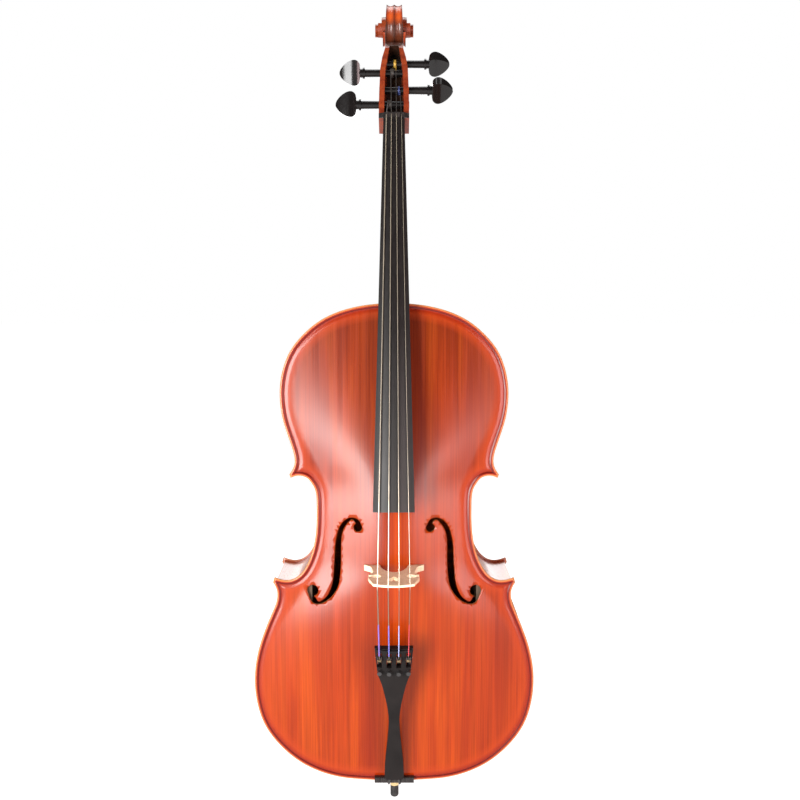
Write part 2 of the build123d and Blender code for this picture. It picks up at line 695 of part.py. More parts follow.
def make_tailpiece(gut):
    right = [in_tail(x, y, -TAIL_THICK) for x, y in TAIL_HALF_WIDTHS]
    left = [in_tail(-x, y, -TAIL_THICK) for x, y in TAIL_HALF_WIDTHS]
    end_right = in_tail(15.0, -TAIL_LENGTH + 3, -TAIL_THICK)
    end_left = in_tail(-15.0, -TAIL_LENGTH + 3, -TAIL_THICK)
    edges = [
        Line(left[0], right[0]), Line(right[0], right[1]), Spline(*right[1:]), Line(right[-1], end_right),
        Line(end_left, left[-1]), Spline(*left[1:]), Line(left[1], left[0]),
        Line(end_right, in_tail(12.5, -TAIL_LENGTH, -TAIL_THICK)),
        Line(in_tail(12.5, -TAIL_LENGTH, -TAIL_THICK), in_tail(-12.5, -TAIL_LENGTH, -TAIL_THICK)),
        Line(in_tail(-12.5, -TAIL_LENGTH, -TAIL_THICK), end_left),
    ]
    blank = extrude(Face(Wire([edge.edge() for edge in edges])), TAIL_THICK + 1, dir=TAIL_PLANE.z_dir)
    crown = Pos(0, -TAIL_LENGTH / 2, -TAIL_CROWN_R) * Rot(90, 0, 0) * Cylinder(TAIL_CROWN_R, TAIL_LENGTH + 40)
    tail = blank & (TAIL_PLANE.location * crown)
    for name in STRING_ORDER:
        x = tuner_x(name)
        drop = tuner_drop(name)
        tail -= tail_box(x - TUNER_SLOT_HALF, x + TUNER_SLOT_HALF, -33, -8, -20, 10)
        tail -= cross_rod(x, TUNER_SLOT_HALF + 2.5, PIVOT[0], PIVOT[1] - drop, PIVOT_R)
        tail -= tail_rod(x, SCREW_Y, -20, 10, SCREW_R + SLIDE_CLEAR)
    return solids_in(tail - gut)


def make_fret(strings):
    """Raised string rest across the top of the tailpiece."""
    a = in_tail(-26.5, -1.6, -1.0)
    b = in_tail(26.5, -1.6, -1.0)
    top = ThreePointArc(a, in_tail(0, -1.6, 3.0), b)
    face = Face(Wire([top.edge(), Line(in_tail(-26.5, -1.6, -6), a).edge(),
                      Line(in_tail(-26.5, -1.6, -6), in_tail(26.5, -1.6, -6)).edge(),
                      Line(in_tail(26.5, -1.6, -6), b).edge()]))
    fret = extrude(face, 3.0, dir=-TAIL_PLANE.y_dir)
    crown = Pos(0, -TAIL_LENGTH / 2, -TAIL_CROWN_R) * Rot(90, 0, 0) * Cylinder(TAIL_CROWN_R, TAIL_LENGTH + 40)
    fret = fret - (TAIL_PLANE.location * crown)
    for string in strings:
        fret -= string
    return solids_in(fret)


def make_lever(name):
    x = tuner_x(name)
    drop = tuner_drop(name)
    points = [in_tail(x - LEVER_HALF, y, z - drop) for y, z in LEVER_PROFILE]
    lever = extrude(Face(Wire.make_polygon(points, close=True)), 2 * LEVER_HALF, dir=(1, 0, 0))
    lever -= cross_rod(x, LEVER_HALF + 1, PIVOT[0], PIVOT[1] - drop, PIVOT_R + SLIDE_CLEAR)
    slot_half = STRING_RADIUS[name] + 0.9
    lever -= tail_box(x - slot_half, x + slot_half, -16, -8, 0.6 - drop, 8)
    return solids_in(lever)


def make_pins():
    pins = []
    for name in STRING_ORDER:
        pins.append(cross_rod(tuner_x(name), TUNER_SLOT_HALF + 2.4, PIVOT[0], PIVOT[1] - tuner_drop(name), PIVOT_R))
    return Compound(children=pins)


def make_screw(name):
    x = tuner_x(name)
    drop = tuner_drop(name)
    shank = tail_rod(x, SCREW_Y, SCREW_TIP_Z + 1 - drop, KNOB_LOW_Z + 3.5 - drop, SCREW_R)
    tip = tail_rod(x, SCREW_Y, SCREW_TIP_Z - drop, SCREW_TIP_Z + 1 - drop, SCREW_R - 0.6)
    return solids_in(shank + tip)


def make_knob(name):
    x = tuner_x(name)
    drop = tuner_drop(name)
    low = KNOB_LOW_Z - drop
    knob = tail_rod(x, SCREW_Y, low, low + KNOB_TALL, KNOB_R)
    for k in range(10):
        angle = 2 * math.pi * k / 10
        knob -= tail_rod(x + (KNOB_R + 0.35) * math.cos(angle), SCREW_Y + (KNOB_R + 0.35) * math.sin(angle),
                         low - 1, low + KNOB_TALL + 1, 0.75)
    knob -= tail_rod(x, SCREW_Y, low - 1, low + 3.6, SCREW_R + SLIDE_CLEAR)
    return solids_in(knob)


def make_ball(name):
    x = tuner_x(name)
    ball = cross_rod(x, LEVER_HALF - 0.4, BALL[0], BALL[1] - tuner_drop(name), BALL_R)
    return solids_in(ball - along_string(name, "tail", STRING_RADIUS[name] + 0.9, -10, 30))


# ---------------------------------------------------------------- strings
PEG_STRING_GAP = 0.3        # between the peg and its turns of string
WINDING_TURNS = 4
WINDING_X = {"c": -9.5, "g": -5.2, "d": 2.8, "a": 8.6}
STRING_BITE = 0.35          # share of the string's radius that sinks into nut and bridge


def string_points(name):
    """Ball end, bridge, nut and peg: the corners of the string's centre line."""
    order = STRING_ORDER[name]
    radius = STRING_RADIUS[name]
    drop = tuner_drop(name)
    ball = in_tail(tuner_x(name), BALL[0] + 0.6, BALL[1] - drop)
    x = order * STRING_SPREAD_BRIDGE
    top = BELLY_Y - (BRIDGE_TALL - bridge_drop(x)) - radius * STRING_BITE
    bridge = Vector(x, top, BRIDGE_Z + 1.3)
    x = order * STRING_SPREAD_NUT
    nut = in_board(x, crown_drop(x) - NUT_PROUD - radius * STRING_BITE, NUT_TALL / 2)
    centre = peg_centre(name)
    reach = peg_radius(0) + PEG_STRING_GAP + radius
    peg = Vector(WINDING_X[name], 0, 0) + centre + HEAD_PLANE.y_dir * -reach
    return [ball, bridge, nut, peg]


def rod_between(start, end, radius):
    axis = end - start
    return Solid.make_cylinder(radius, axis.length, Plane(origin=start, z_dir=axis.normalized()))


def along_string(name, part, radius, start, stop):
    """A rod on the string's own line, between two distances from its ball end."""
    points = string_points(name)
    direction = (points[1] - points[0]).normalized()
    return rod_between(points[0] + direction * start, points[0] + direction * stop, radius)


def make_string(name):
    radius = STRING_RADIUS[name]
    points = string_points(name)
    string = rod_between(points[0], points[1], radius)
    for start, end in zip(points[1:], points[2:]):
        string += rod_between(start, end, radius)
    for corner in points[1:3]:
        string += Pos(*corner) * Sphere(radius)
    return solids_in(string + winding(name))


def winding(name):
    """Turns of string side by side round the peg."""
    radius = STRING_RADIUS[name]
    centre = peg_centre(name)
    reach = peg_radius(0) + PEG_STRING_GAP + radius
    side = math.copysign(1, WINDING_X[name])
    disks = None
    for turn in range(WINDING_TURNS):
        x = WINDING_X[name] - side * turn * radius * 1.8
        point = centre + Vector(x, -reach, 0)
        disk = Plane(origin=point, z_dir=(0, 0, 1)).location * Circle(radius)
        disks = disk if disks is None else disks + disk
    return revolve(disks, Axis(centre, (1, 0, 0)), 360)


SILK_THICK = 0.22
SILK_SPAN = (7.5, 62.0)     # from the ball end


def make_silk(name):
    radius = STRING_RADIUS[name]
    outer = along_string(name, "tail", radius + SILK_THICK, *SILK_SPAN)
    inner = along_string(name, "tail", radius, SILK_SPAN[0] - 1, SILK_SPAN[1] + 1)
    return solids_in(outer - inner)


# ---------------------------------------------------------------- saddle and tailgut
SADDLE_HALF = 31.0
SADDLE_TALL = 9.0
SADDLE_Y = -70.5
GUT_R = 1.6
COLLAR_R = 14.0
COLLAR_LOW = 36.0
GUT_RING_Z = 52.0


def make_tailgut():
    """One loop: out of the tailpiece, over the saddle, round the endpin collar and back."""
    x0 = 7.0
    ring = COLLAR_R + GUT_R + 0.15
    half = [
        in_tail(x0, -TAIL_LENGTH + 34, -6.2), in_tail(x0, -TAIL_LENGTH - 1.0, -4.6),
        Vector(8.2, SADDLE_Y - GUT_R - 0.1, BODY_Z - 1.0), Vector(ring, -30, GUT_RING_Z),
        Vector(ring, ring, GUT_RING_Z),
    ]
    other = [Vector(-p.X, p.Y, p.Z) for p in reversed(half)]
    path = FilletPolyline(*(half + other), radius=[8, 6, 8, ring - 0.5, ring - 0.5, 8, 6, 8])
    section = Plane(origin=path @ 0, z_dir=path % 0).location * Circle(GUT_R)
    return sweep(section, path=path)


def saddle_block():
    face = half_box(-SADDLE_HALF, SADDLE_HALF, BODY_Z - 0.8, BODY_Z + SADDLE_TALL)
    return slab(face, FRONT_GLUE, SADDLE_Y)


def make_saddle(gut):
    block = saddle_block()
    front = block.edges().filter_by(Axis.X).sort_by(Axis.Y)[:2]
    block = fillet(front, 2.5)
    return solids_in(block - gut)


# ---------------------------------------------------------------- endpin
def upright(radius, z0, z1):
    return Pos(0, 0, (z0 + z1) / 2) * Cylinder(radius, z1 - z0)


PLUG_TOP = BODY_Z + OVERHANG + 34
SCREW_Z = 29.0


def plug_body():
    cone = Pos(0, 0, (BODY_Z + OVERHANG + PLUG_TOP) / 2) * Cone(12.5, 11.0, PLUG_TOP - BODY_Z - OVERHANG)
    return cone


def make_plug():
    collar = upright(COLLAR_R, COLLAR_LOW, BODY_Z + OVERHANG)
    collar -= Pos(0, 0, GUT_RING_Z) * Torus(COLLAR_R + GUT_R + 0.15, GUT_R + 0.12)
    return solids_in(collar + plug_body() - upright(ENDPIN_R + SLIDE_CLEAR, 0, 200))


def thumb_rod(x0, x1, radius):
    return Pos((x0 + x1) / 2, 0, SCREW_Z) * Rot(0, 90, 0) * Cylinder(radius, x1 - x0)


def make_ferrule():
    ferrule = upright(ENDPIN_TIP_R, ENDPIN_TIP_TALL + 0.3, COLLAR_LOW)
    ferrule -= upright(ENDPIN_R + SLIDE_CLEAR, 0, 60)
    return solids_in(ferrule - thumb_rod(0, 9, 2.0 + SLIDE_CLEAR))


def make_thumb_screw():
    head = thumb_rod(6.95, 10.6, 5.0)
    for k in range(14):
        angle = 2 * math.pi * k / 14
        head -= Pos(0, 5.3 * math.sin(angle), 5.3 * math.cos(angle)) * thumb_rod(6, 12, 0.8)
    return solids_in(head + thumb_rod(ENDPIN_R + 0.1, 7.5, 2.0))


def make_rod():
    return upright(ENDPIN_R, 7.0, 7.0 + ENDPIN_ROD_LENGTH)


def make_tip():
    tip = upright(ENDPIN_TIP_R, 0, ENDPIN_TIP_TALL)
    tip = fillet(tip.edges().sort_by(Axis.Z)[0], 4.5)
    for k in range(3):
        groove = Pos(0, 0, 9.5 + 3.0 * k) * Torus(ENDPIN_TIP_R + 0.35, 0.7)
        tip -= groove
    return solids_in(tip - upright(ENDPIN_R, 7.0, 30))


# ---------------------------------------------------------------- inside of the body
def block_region(x0, x1, z0, z1, inset=OVERHANG + RIB_THICK):
    """Part of the inner outline inside a rectangle, from plate to plate."""
    box = slab(half_box(x0, x1, z0, z1), FRONT_GLUE, BACK_GLUE)
    return INNER & box


INNER = inner_block(OVERHANG + RIB_THICK, FRONT_GLUE, BACK_GLUE)


def make_top_block():
    return block_region(-48, 48, BODY_Z + BODY_LENGTH - 34, BODY_Z + BODY_LENGTH)


def make_end_block():
    return block_region(-45, 45, BODY_Z, BODY_Z + 40)


CORNER_ZONES = [    # x range, height range of the treble corner blocks
    (128, 190, 292, 352), (112, 170, 466, 520),
]


def make_corner_blocks():
    blocks = []
    for x0, x1, z0, z1 in CORNER_ZONES:
        block = block_region(x0, x1, BODY_Z + z0, BODY_Z + z1)
        blocks += list(block.solids()) + list(mirrored(block).solids())
    return blocks


def make_ribs():
    """Six ribs. The bout ribs are cut back where the C ribs run out to the corners."""
    outer = OVERHANG
    inner = OVERHANG + RIB_THICK
    deep = (FRONT_GLUE, BACK_GLUE)
    tip_room = inner_tips()
    ribs = {}
    c_rib = slab(band(MIDDLE, outer, inner, reach=0), *deep) - tip_room
    lower = slab(band(LOWER, outer, inner, reach=0), *deep) - tip_room - slab(band(MIDDLE, -4, inner, reach=8), -60, 60)
    upper = slab(band(UPPER, outer, inner, reach=0), *deep) - tip_room - slab(band(MIDDLE, -4, inner, reach=8), -60, 60)
    lower = lower - upright(12.6, 40, 110)
    for name, rib in (("c_rib", c_rib), ("lower_rib", lower), ("upper_rib", upper)):
        rib = max(rib.solids(), key=lambda solid: solid.volume)
        ribs[name + "_treble"] = rib
        ribs[name + "_bass"] = mirrored(rib)
    return ribs


def inner_tips():
    """Room kept free at the blunt corner tips, where the ribs end short of the plates' edge."""
    lower_tip = (LOWER_BOUT[-1], C_BOUT[0])
    upper_tip = (C_BOUT[-1], UPPER_BOUT[0])
    room = None
    for a, b in (lower_tip, upper_tip):
        p = Vector(a[0], 0, BODY_Z + a[1])
        q = Vector(b[0], 0, BODY_Z + b[1])
        along = (q - p).normalized()
        inward = Vector(-1, 0, 0) - along * Vector(-1, 0, 0).dot(along)
        inward = inward.normalized() * 4.0
        corners = [p - along * 15 + inward, q + along * 15 + inward,
                   q + along * 15 - inward * 4, p - along * 15 - inward * 4]
        wall = slab(Face(Wire.make_polygon(corners, close=True)), -70, 70)
        room = wall if room is None else room + wall
    return room


def make_linings(side, blocks):
    """Linings along all six ribs on one plate."""
    inset = OVERHANG + RIB_THICK
    y0 = side * RIB_HALF
    y1 = side * (RIB_HALF - LINING_DEEP)
    pieces = []
    for arcs in STRETCHES.values():
        strip = slab(band(arcs, inset, inset + LINING_THICK), y0, y1) & INNER
        for block in blocks:
            strip = strip - block
        largest = max(strip.solids(), key=lambda solid: solid.volume)
        pieces += [largest, mirrored(largest)]
    return pieces


def make_purfling():
    """Inlaid strip near the edge of the front, its top flush with the wood."""
    y0 = FRONT_GLUE - EDGE_THICK
    y1 = y0 + 1.5
    ring = inner_block(4.6, y0, y1) - inner_block(6.1, y0, y1)
    return solids_in(ring)


def make_bass_bar():
    """Spruce bar glued under the belly below the C string."""
    block = Pos(-26, -66, BODY_Z + 385) * Rot(0, -1.0, 0) * Box(10.5, 40, 570)
    sag = Pos(-26, -66 + 390, BODY_Z + 385) * Rot(0, 90, 0) * Cylinder(400, 60)
    return solids_in((block - sag) & FRONT_HOLLOW)


def make_sound_post():
    post = Pos(25, 0, BRIDGE_Z - 14) * Rot(90, 0, 0) * Cylinder(5.5, 220)
    return solids_in((post & FRONT_HOLLOW) & BACK_HOLLOW)


# ---------------------------------------------------------------- the whole cello
def build():
    nodes = {}
    strings = {name: make_string(name) for name in STRING_ORDER}
    grooves = [make_grooving_string(name) for name in STRING_ORDER]
    gut = make_tailgut()
    nodes["fingerboard"] = make_fingerboard()
    bores = [peg_shaft(name, PEG_CLEAR) for name in PEG_ALONG]
    paths = [rod_between(*string_points(name)[2:], STRING_RADIUS[name] + 0.5) for name in PEG_ALONG]
    neck = make_neck(bores + paths + [nodes["fingerboard"]])
    nodes["nut"] = cut_by(make_nut(), grooves)
    nodes["neck"] = neck

    front = arched_plate(front_outer, front_inner)
    front = front - both(f_hole()) - saddle_block() - neck
    nodes["front_purfling"] = cut_by(make_purfling(), [neck, saddle_block()])
    nodes["front_plate"] = solids_in(front - nodes["front_purfling"])

    back = to_back(arched_plate(back_outer, back_inner)) + make_button()
    nodes["back_purfling"] = to_back(make_purfling())
    nodes["back_plate"] = solids_in(back - nodes["back_purfling"])

    nodes["bridge"] = make_bridge(grooves)
    nodes["saddle"] = make_saddle(gut)
    nodes["tailpiece"] = make_tailpiece(gut)
    nodes["tailpiece_fret"] = make_fret(grooves)
    nodes["tailgut"] = gut
    nodes["tuner_pivot_pins"] = make_pins()

    for name, rib in make_ribs().items():
        if name.startswith("upper"):
            rib = solids_in(rib - neck)
        nodes[name] = rib
    top_block = make_top_block()
    end_block = make_end_block()
    corners = make_corner_blocks()
    nodes["top_block"] = solids_in(top_block - neck)
    nodes["end_block"] = solids_in(end_block - plug_body() - upright(ENDPIN_R + 1, PLUG_TOP - 1, PLUG_TOP + 10))
    nodes["corner_blocks"] = Compound(children=corners)
    blocks = [top_block, end_block] + corners
    nodes["front_linings"] = Compound(children=make_linings(-1, blocks))
    nodes["back_linings"] = Compound(children=make_linings(1, blocks))
    nodes["bass_bar"] = make_bass_bar()
    nodes["sound_post"] = make_sound_post()

    nodes["endpin_plug"] = make_plug()
    nodes["endpin_ferrule"] = make_ferrule()
    nodes["endpin_thumb_screw"] = make_thumb_screw()
    nodes["endpin_rod"] = make_rod()
    nodes["endpin_tip"] = make_tip()

    for name in STRING_ORDER:
        nodes["peg_" + name] = make_peg(name)
        nodes["string_" + name] = strings[name]
        nodes["silk_" + name] = make_silk(name)
        nodes["ball_end_" + name] = make_ball(name)
        nodes["tuner_lever_" + name] = make_lever(name)
        nodes["tuner_screw_" + name] = make_screw(name)
        nodes["tuner_knob_" + name] = make_knob(name)
    return nodes


def make_grooving_string(name):
    """The string without its winding, a hair larger, to cut its grooves."""
    points = string_points(name)
    radius = STRING_RADIUS[name] + 0.02
    string = rod_between(points[0], points[1], radius)
    for start, end in zip(points[1:], points[2:]):
        string += rod_between(start, end, radius)
    for corner in points[1:3]:
        string += Pos(*corner) * Sphere(radius)
    return string


def cut_by(shape, tools):
    for tool in tools:
        shape = shape - tool
    return solids_in(shape)


def make_button():
    """Half-round tab of the back plate that the heel is glued to."""
    radius = 15.0
    low = BODY_Z + BODY_LENGTH
    a = (-radius, 0, low - 8)
    b = (radius, 0, low - 8)
    c = (radius, 0, low + 12)
    d = (-radius, 0, low + 12)
    arc = ThreePointArc(c, (0, 0, low + 12 + radius), d)
    face = Face(Wire([Line(a, b).edge(), Line(b, c).edge(), arc.edge(), Line(d, a).edge()]))
    return slab(face, BACK_GLUE, BACK_GLUE + EDGE_THICK)


def main():
    os.makedirs("parts", exist_ok=True)
    nodes = build()
    for name, shape in nodes.items():
        export_step(shape, os.path.join("parts", name + ".step"))


if __name__ == "__main__":
    main()
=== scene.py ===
import math

import bmesh
import bpy
import numpy as np
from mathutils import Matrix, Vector
from mathutils.geometry import delaunay_2d_cdt


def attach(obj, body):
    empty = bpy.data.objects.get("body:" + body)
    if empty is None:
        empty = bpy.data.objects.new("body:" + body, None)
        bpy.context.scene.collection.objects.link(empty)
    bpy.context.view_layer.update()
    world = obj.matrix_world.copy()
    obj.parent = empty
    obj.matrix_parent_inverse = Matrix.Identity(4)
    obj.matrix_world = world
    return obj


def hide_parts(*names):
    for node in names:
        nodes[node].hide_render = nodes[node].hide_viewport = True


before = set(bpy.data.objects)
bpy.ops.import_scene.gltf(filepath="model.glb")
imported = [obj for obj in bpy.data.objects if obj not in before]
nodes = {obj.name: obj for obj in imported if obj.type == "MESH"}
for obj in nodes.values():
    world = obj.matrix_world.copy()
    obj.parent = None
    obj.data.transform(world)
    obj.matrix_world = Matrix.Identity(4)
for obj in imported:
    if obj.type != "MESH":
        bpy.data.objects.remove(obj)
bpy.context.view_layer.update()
scene = bpy.context.scene
STRINGS = "cgda"

# ---------------------------------------------------------------- sizes, metres
BODY_Z = 0.058
BODY_LENGTH = 0.755
GLUE_Y = 0.059              # half the rib depth
EDGE_THICK = 0.0045
FRONT_ARCH = 0.0205
BACK_ARCH = 0.0225
PLATE_MARGIN = 0.013        # flat border at the plate's ends, outside the arch


# ---------------------------------------------------------------- camera, light and floor
CAMERA_PLACE = (0.0091, -1.5534, 0.8121)
CAMERA_DOWN = 5.615         # degrees below level
CAMERA_LENS = 44.107        # millimetres
LIGHT_AIM = (0, 0, 0.55)
WORLD_LIT = 0.08            # strength of the world as light
WORLD_SEEN = 1.0            # strength of the world as the camera sees it
FLOOR_RADIUS = 40.0


def make_camera():
    data = bpy.data.cameras.new("camera")
    data.lens = CAMERA_LENS
    data.sensor_width = 36.0
    data.dof.use_dof = False
    camera = bpy.data.objects.new("camera", data)
    camera.location = CAMERA_PLACE
    camera.rotation_euler = (math.radians(90 - CAMERA_DOWN), 0, 0)
    scene.collection.objects.link(camera)
    scene.camera = camera


def softbox(name, place, target, size, power, colour=(1.0, 1.0, 1.0)):
    """Rectangular area light at a place, turned to face a target."""
    data = bpy.data.lights.new(name, "AREA")
    data.shape = "RECTANGLE"
    data.size = size[0]
    data.size_y = size[1]
    data.energy = power
    data.color = colour
    light = bpy.data.objects.new(name, data)
    light.location = place
    aim = Vector(target) - Vector(place)
    light.rotation_euler = aim.to_track_quat("-Z", "Y").to_euler()
    scene.collection.objects.link(light)


def make_light():
    softbox("key_left", (-1.13, -2.04, 0.50), LIGHT_AIM, (0.92, 1.50), 140)
    softbox("fill_right", (1.13, -2.04, 0.56), LIGHT_AIM, (0.70, 1.40), 48, (1.0, 0.74, 0.74))
    softbox("top", (0.0, 0.5, 2.4), (0, 0, 0.5), (1.3, 0.9), 18)
    softbox("behind", (0.0, 2.2, 1.1), LIGHT_AIM, (2.6, 1.2), 34)
    world = bpy.data.worlds.new("studio")
    world.use_nodes = True
    background = world.node_tree.nodes["Background"]
    background.inputs["Color"].default_value = (1, 1, 1, 1)
    seen = world.node_tree.nodes.new("ShaderNodeLightPath")
    strength = world.node_tree.nodes.new("ShaderNodeMapRange")
    strength.inputs["To Min"].default_value = WORLD_LIT
    strength.inputs["To Max"].default_value = WORLD_SEEN
    world.node_tree.links.new(seen.outputs["Is Camera Ray"], strength.inputs["Value"])
    world.node_tree.links.new(strength.outputs["Result"], background.inputs["Strength"])
    scene.world = world
    scene.view_settings.view_transform = "Standard"
    scene.view_settings.look = "None"


def make_floor():
    """Pale round floor, wide enough to reach the horizon."""
    turn = np.linspace(0, 2 * math.pi, 65)[:-1]
    points = [(FLOOR_RADIUS * math.cos(a), FLOOR_RADIUS * math.sin(a), 0) for a in turn]
    mesh = bpy.data.meshes.new("floor")
    mesh.from_pydata(points, [], [tuple(range(len(points)))])
    floor = bpy.data.objects.new("floor", mesh)
    scene.collection.objects.link(floor)
    material = bpy.data.materials.new("floor")
    material.use_nodes = True
    shader = material.node_tree.nodes["Principled BSDF"]
    shader.inputs["Base Color"].default_value = (0.30, 0.30, 0.30, 1)
    shader.inputs["Roughness"].default_value = 0.75
    shader.inputs["Specular IOR Level"].default_value = 0.2
    shader.inputs["Emission Color"].default_value = (1, 1, 1, 1)
    shader.inputs["Emission Strength"].default_value = 0.98
    mesh.materials.append(material)


# ---------------------------------------------------------------- materials
class Surface:
    """A Principled material with short ways to add procedural detail."""

    def __init__(self, name, roughness=0.4, metallic=0.0, specular=0.5, coat=0.0, coat_roughness=0.1):
        self.material = bpy.data.materials.new(name)
        self.material.use_nodes = True
        self.tree = self.material.node_tree
        self.shader = self.tree.nodes["Principled BSDF"]
        self.put("Roughness", roughness)
        self.put("Metallic", metallic)
        self.put("Specular IOR Level", specular)
        self.put("Coat Weight", coat)
        self.put("Coat Roughness", coat_roughness)
        self.place = self.node("ShaderNodeTexCoord").outputs["Object"]

    def node(self, kind, **values):
        node = self.tree.nodes.new(kind)
        for key, value in values.items():
            setattr(node, key, value)
        return node

    def link(self, source, target):
        self.tree.links.new(source, target)

    def put(self, socket, value):
        self.shader.inputs[socket].default_value = value

    def noise(self, scale, detail=3.0, stretch=(1, 1, 1), roughness=0.5, distortion=0.0):
        """Noise in the object's own metres. stretch multiplies the scale along each axis."""
        mapping = self.node("ShaderNodeMapping")
        mapping.inputs["Scale"].default_value = stretch
        self.link(self.place, mapping.inputs["Vector"])
        noise = self.node("ShaderNodeTexNoise")
        noise.inputs["Scale"].default_value = scale
        noise.inputs["Detail"].default_value = detail
        noise.inputs["Roughness"].default_value = roughness
        noise.inputs["Distortion"].default_value = distortion
        self.link(mapping.outputs["Vector"], noise.inputs["Vector"])
        return noise.outputs["Fac"]

    def ramp(self, value, stops):
        ramp = self.node("ShaderNodeValToRGB")
        elements = ramp.color_ramp.elements
        while len(elements) < len(stops):
            elements.new(0.5)
        for element, (place, colour) in zip(elements, stops):
            element.position = place
            element.color = colour if len(colour) == 4 else (*colour, 1)
        self.link(value, ramp.inputs["Fac"])
        return ramp.outputs["Color"]

    def span(self, value, low, high, start=0.0, stop=1.0):
        """Value from start..stop mapped to low..high, clamped."""
        node = self.node("ShaderNodeMapRange")
        node.inputs["From Min"].default_value = start
        node.inputs["From Max"].default_value = stop
        node.inputs["To Min"].default_value = low
        node.inputs["To Max"].default_value = high
        self.link(value, node.inputs["Value"])
        return node.outputs["Result"]

    def mix(self, share, first, second, mode="MIX"):
        node = self.node("ShaderNodeMix", data_type="RGBA", blend_type=mode)
        for value, socket in ((share, 0), (first, 6), (second, 7)):
            if isinstance(value, (int, float)):
                node.inputs[socket].default_value = value
            elif isinstance(value, tuple):
                node.inputs[socket].default_value = (*value, 1)
            else:
                self.link(value, node.inputs[socket])
        return node.outputs[2]

    def stain(self, base, marks, share, dark, light, colour):
        """Base with a colour multiplied in where marks is dark, and left alone where it is light."""
        tint = self.ramp(marks, [(dark, colour), (light, (1.0, 1.0, 1.0))])
        return self.mix(share, base, tint, "MULTIPLY")

    def math(self, operation, first, second):
        node = self.node("ShaderNodeMath", operation=operation)
        for value, socket in ((first, 0), (second, 1)):
            if isinstance(value, (int, float)):
                node.inputs[socket].default_value = value
            else:
                self.link(value, node.inputs[socket])
        return node.outputs[0]

    def colour(self, source):
        self.link(source, self.shader.inputs["Base Color"])

    def rough(self, value, low, high, start=0.3, stop=0.7):
        self.link(self.span(value, low, high, start, stop), self.shader.inputs["Roughness"])

    def bump(self, height, strength, distance):
        node = self.node("ShaderNodeBump")
        node.inputs["Strength"].default_value = strength
        node.inputs["Distance"].default_value = distance
        self.link(height, node.inputs["Height"])
        self.link(node.outputs["Normal"], self.shader.inputs["Normal"])

    def attribute(self, name):
        return self.node("ShaderNodeAttribute", attribute_name=name).outputs["Fac"]

    def along(self, axis):
        split = self.node("ShaderNodeSeparateXYZ")
        self.link(self.place, split.inputs[0])
        return split.outputs[axis]


# Colours across a plate's edge. Each place is 10 times the distance in metres from the edge: the corner
# and rim, lighter as a painted highlight, then painted shade on both sides of the purfling and through
# the channel.
SPRUCE_EDGE = [
    (0.000, (0.46, 0.18, 0.06)), (0.018, (0.40, 0.13, 0.04)), (0.030, (0.19, 0.010, 0.002)),
    (0.046, (0.14, 0.006, 0.001)), (0.048, (0.05, 0.002, 0.001)), (0.058, (0.05, 0.002, 0.001)),
    (0.061, (0.15, 0.007, 0.001)), (0.095, (0.20, 0.014, 0.002)), (0.150, (0.28, 0.028, 0.003)),
]
MAPLE_EDGE = [
    (0.000, (0.30, 0.09, 0.03)), (0.018, (0.34, 0.10, 0.035)), (0.030, (0.22, 0.022, 0.006)),
    (0.046, (0.20, 0.018, 0.004)), (0.048, (0.05, 0.006, 0.003)), (0.058, (0.05, 0.006, 0.003)),
    (0.061, (0.22, 0.022, 0.005)), (0.100, (0.28, 0.04, 0.009)), (0.150, (0.38, 0.07, 0.014)),
]


def spruce_varnish():
    """Orange-red varnish on straight-grained spruce, with painted shade over its upper part, and near the
    edge a painted highlight on the rim and painted shade in the channel.
    """
    s = Surface("spruce_varnish", specular=0.20, coat=0.07, coat_roughness=0.16)
    fine = s.noise(1.0, 2.0, (620, 90, 5), 0.55)
    medium = s.noise(1.0, 3.0, (150, 30, 1.6), 0.6)
    broad = s.noise(1.0, 3.0, (34, 10, 2.2), 0.5, 0.4)
    cloud = s.noise(5.0, 3.0)
    tones = [(0.30, (0.21, 0.017, 0.001)), (0.50, (0.28, 0.028, 0.001)), (0.70, (0.34, 0.044, 0.0015))]
    base = s.ramp(broad, tones)
    base = s.stain(base, medium, 0.38, 0.32, 0.62, (0.50, 0.50, 0.50))
    base = s.stain(base, fine, 0.45, 0.36, 0.60, (0.52, 0.45, 0.40))
    base = s.stain(base, cloud, 0.35, 0.30, 0.65, (0.70, 0.62, 0.55))
    # Painted shade: the colour darkens towards the belly's upper end.
    upper = s.span(s.along("Z"), 0.0, 1.0, 0.50, 0.80)
    base = s.mix(upper, base, s.mix(1.0, base, (0.56, 0.62, 1.0), "MULTIPLY"))
    # Near the edge the colours of SPRUCE_EDGE take over: a painted highlight on the rim, painted shade in
    # the channel.
    rim = s.attribute("rim")
    at_rim = s.span(rim, 1.0, 0.0, 0.06, 0.26)
    s.colour(s.mix(at_rim, base, s.ramp(rim, SPRUCE_EDGE)))
    s.rough(medium, 0.21, 0.27)
    s.bump(s.math("ADD", fine, medium), 0.18, 0.00015)
    return s.material


def rib_varnish():
    """Red-brown varnish on the ribs. The maple's flames lie level, across Z."""
    s = Surface("rib_varnish", specular=0.5, coat=0.35, coat_roughness=0.2)
    flames = s.noise(1.0, 2.5, (9.0, 9.0, 48.0), 0.5, 0.6)
    pores = s.noise(1.0, 3.0, (420, 420, 26), 0.6)
    cloud = s.noise(6.0, 3.0)
    tones = [(0.34, (0.27, 0.046, 0.010)), (0.50, (0.42, 0.078, 0.015)), (0.66, (0.58, 0.135, 0.026))]
    base = s.ramp(flames, tones)
    base = s.stain(base, pores, 0.4, 0.34, 0.55, (0.45, 0.40, 0.36))
    base = s.stain(base, cloud, 0.4, 0.30, 0.65, (0.62, 0.55, 0.5))
    s.colour(base)
    s.rough(pores, 0.24, 0.36)
    s.bump(pores, 0.2, 0.0002)
    return s.material


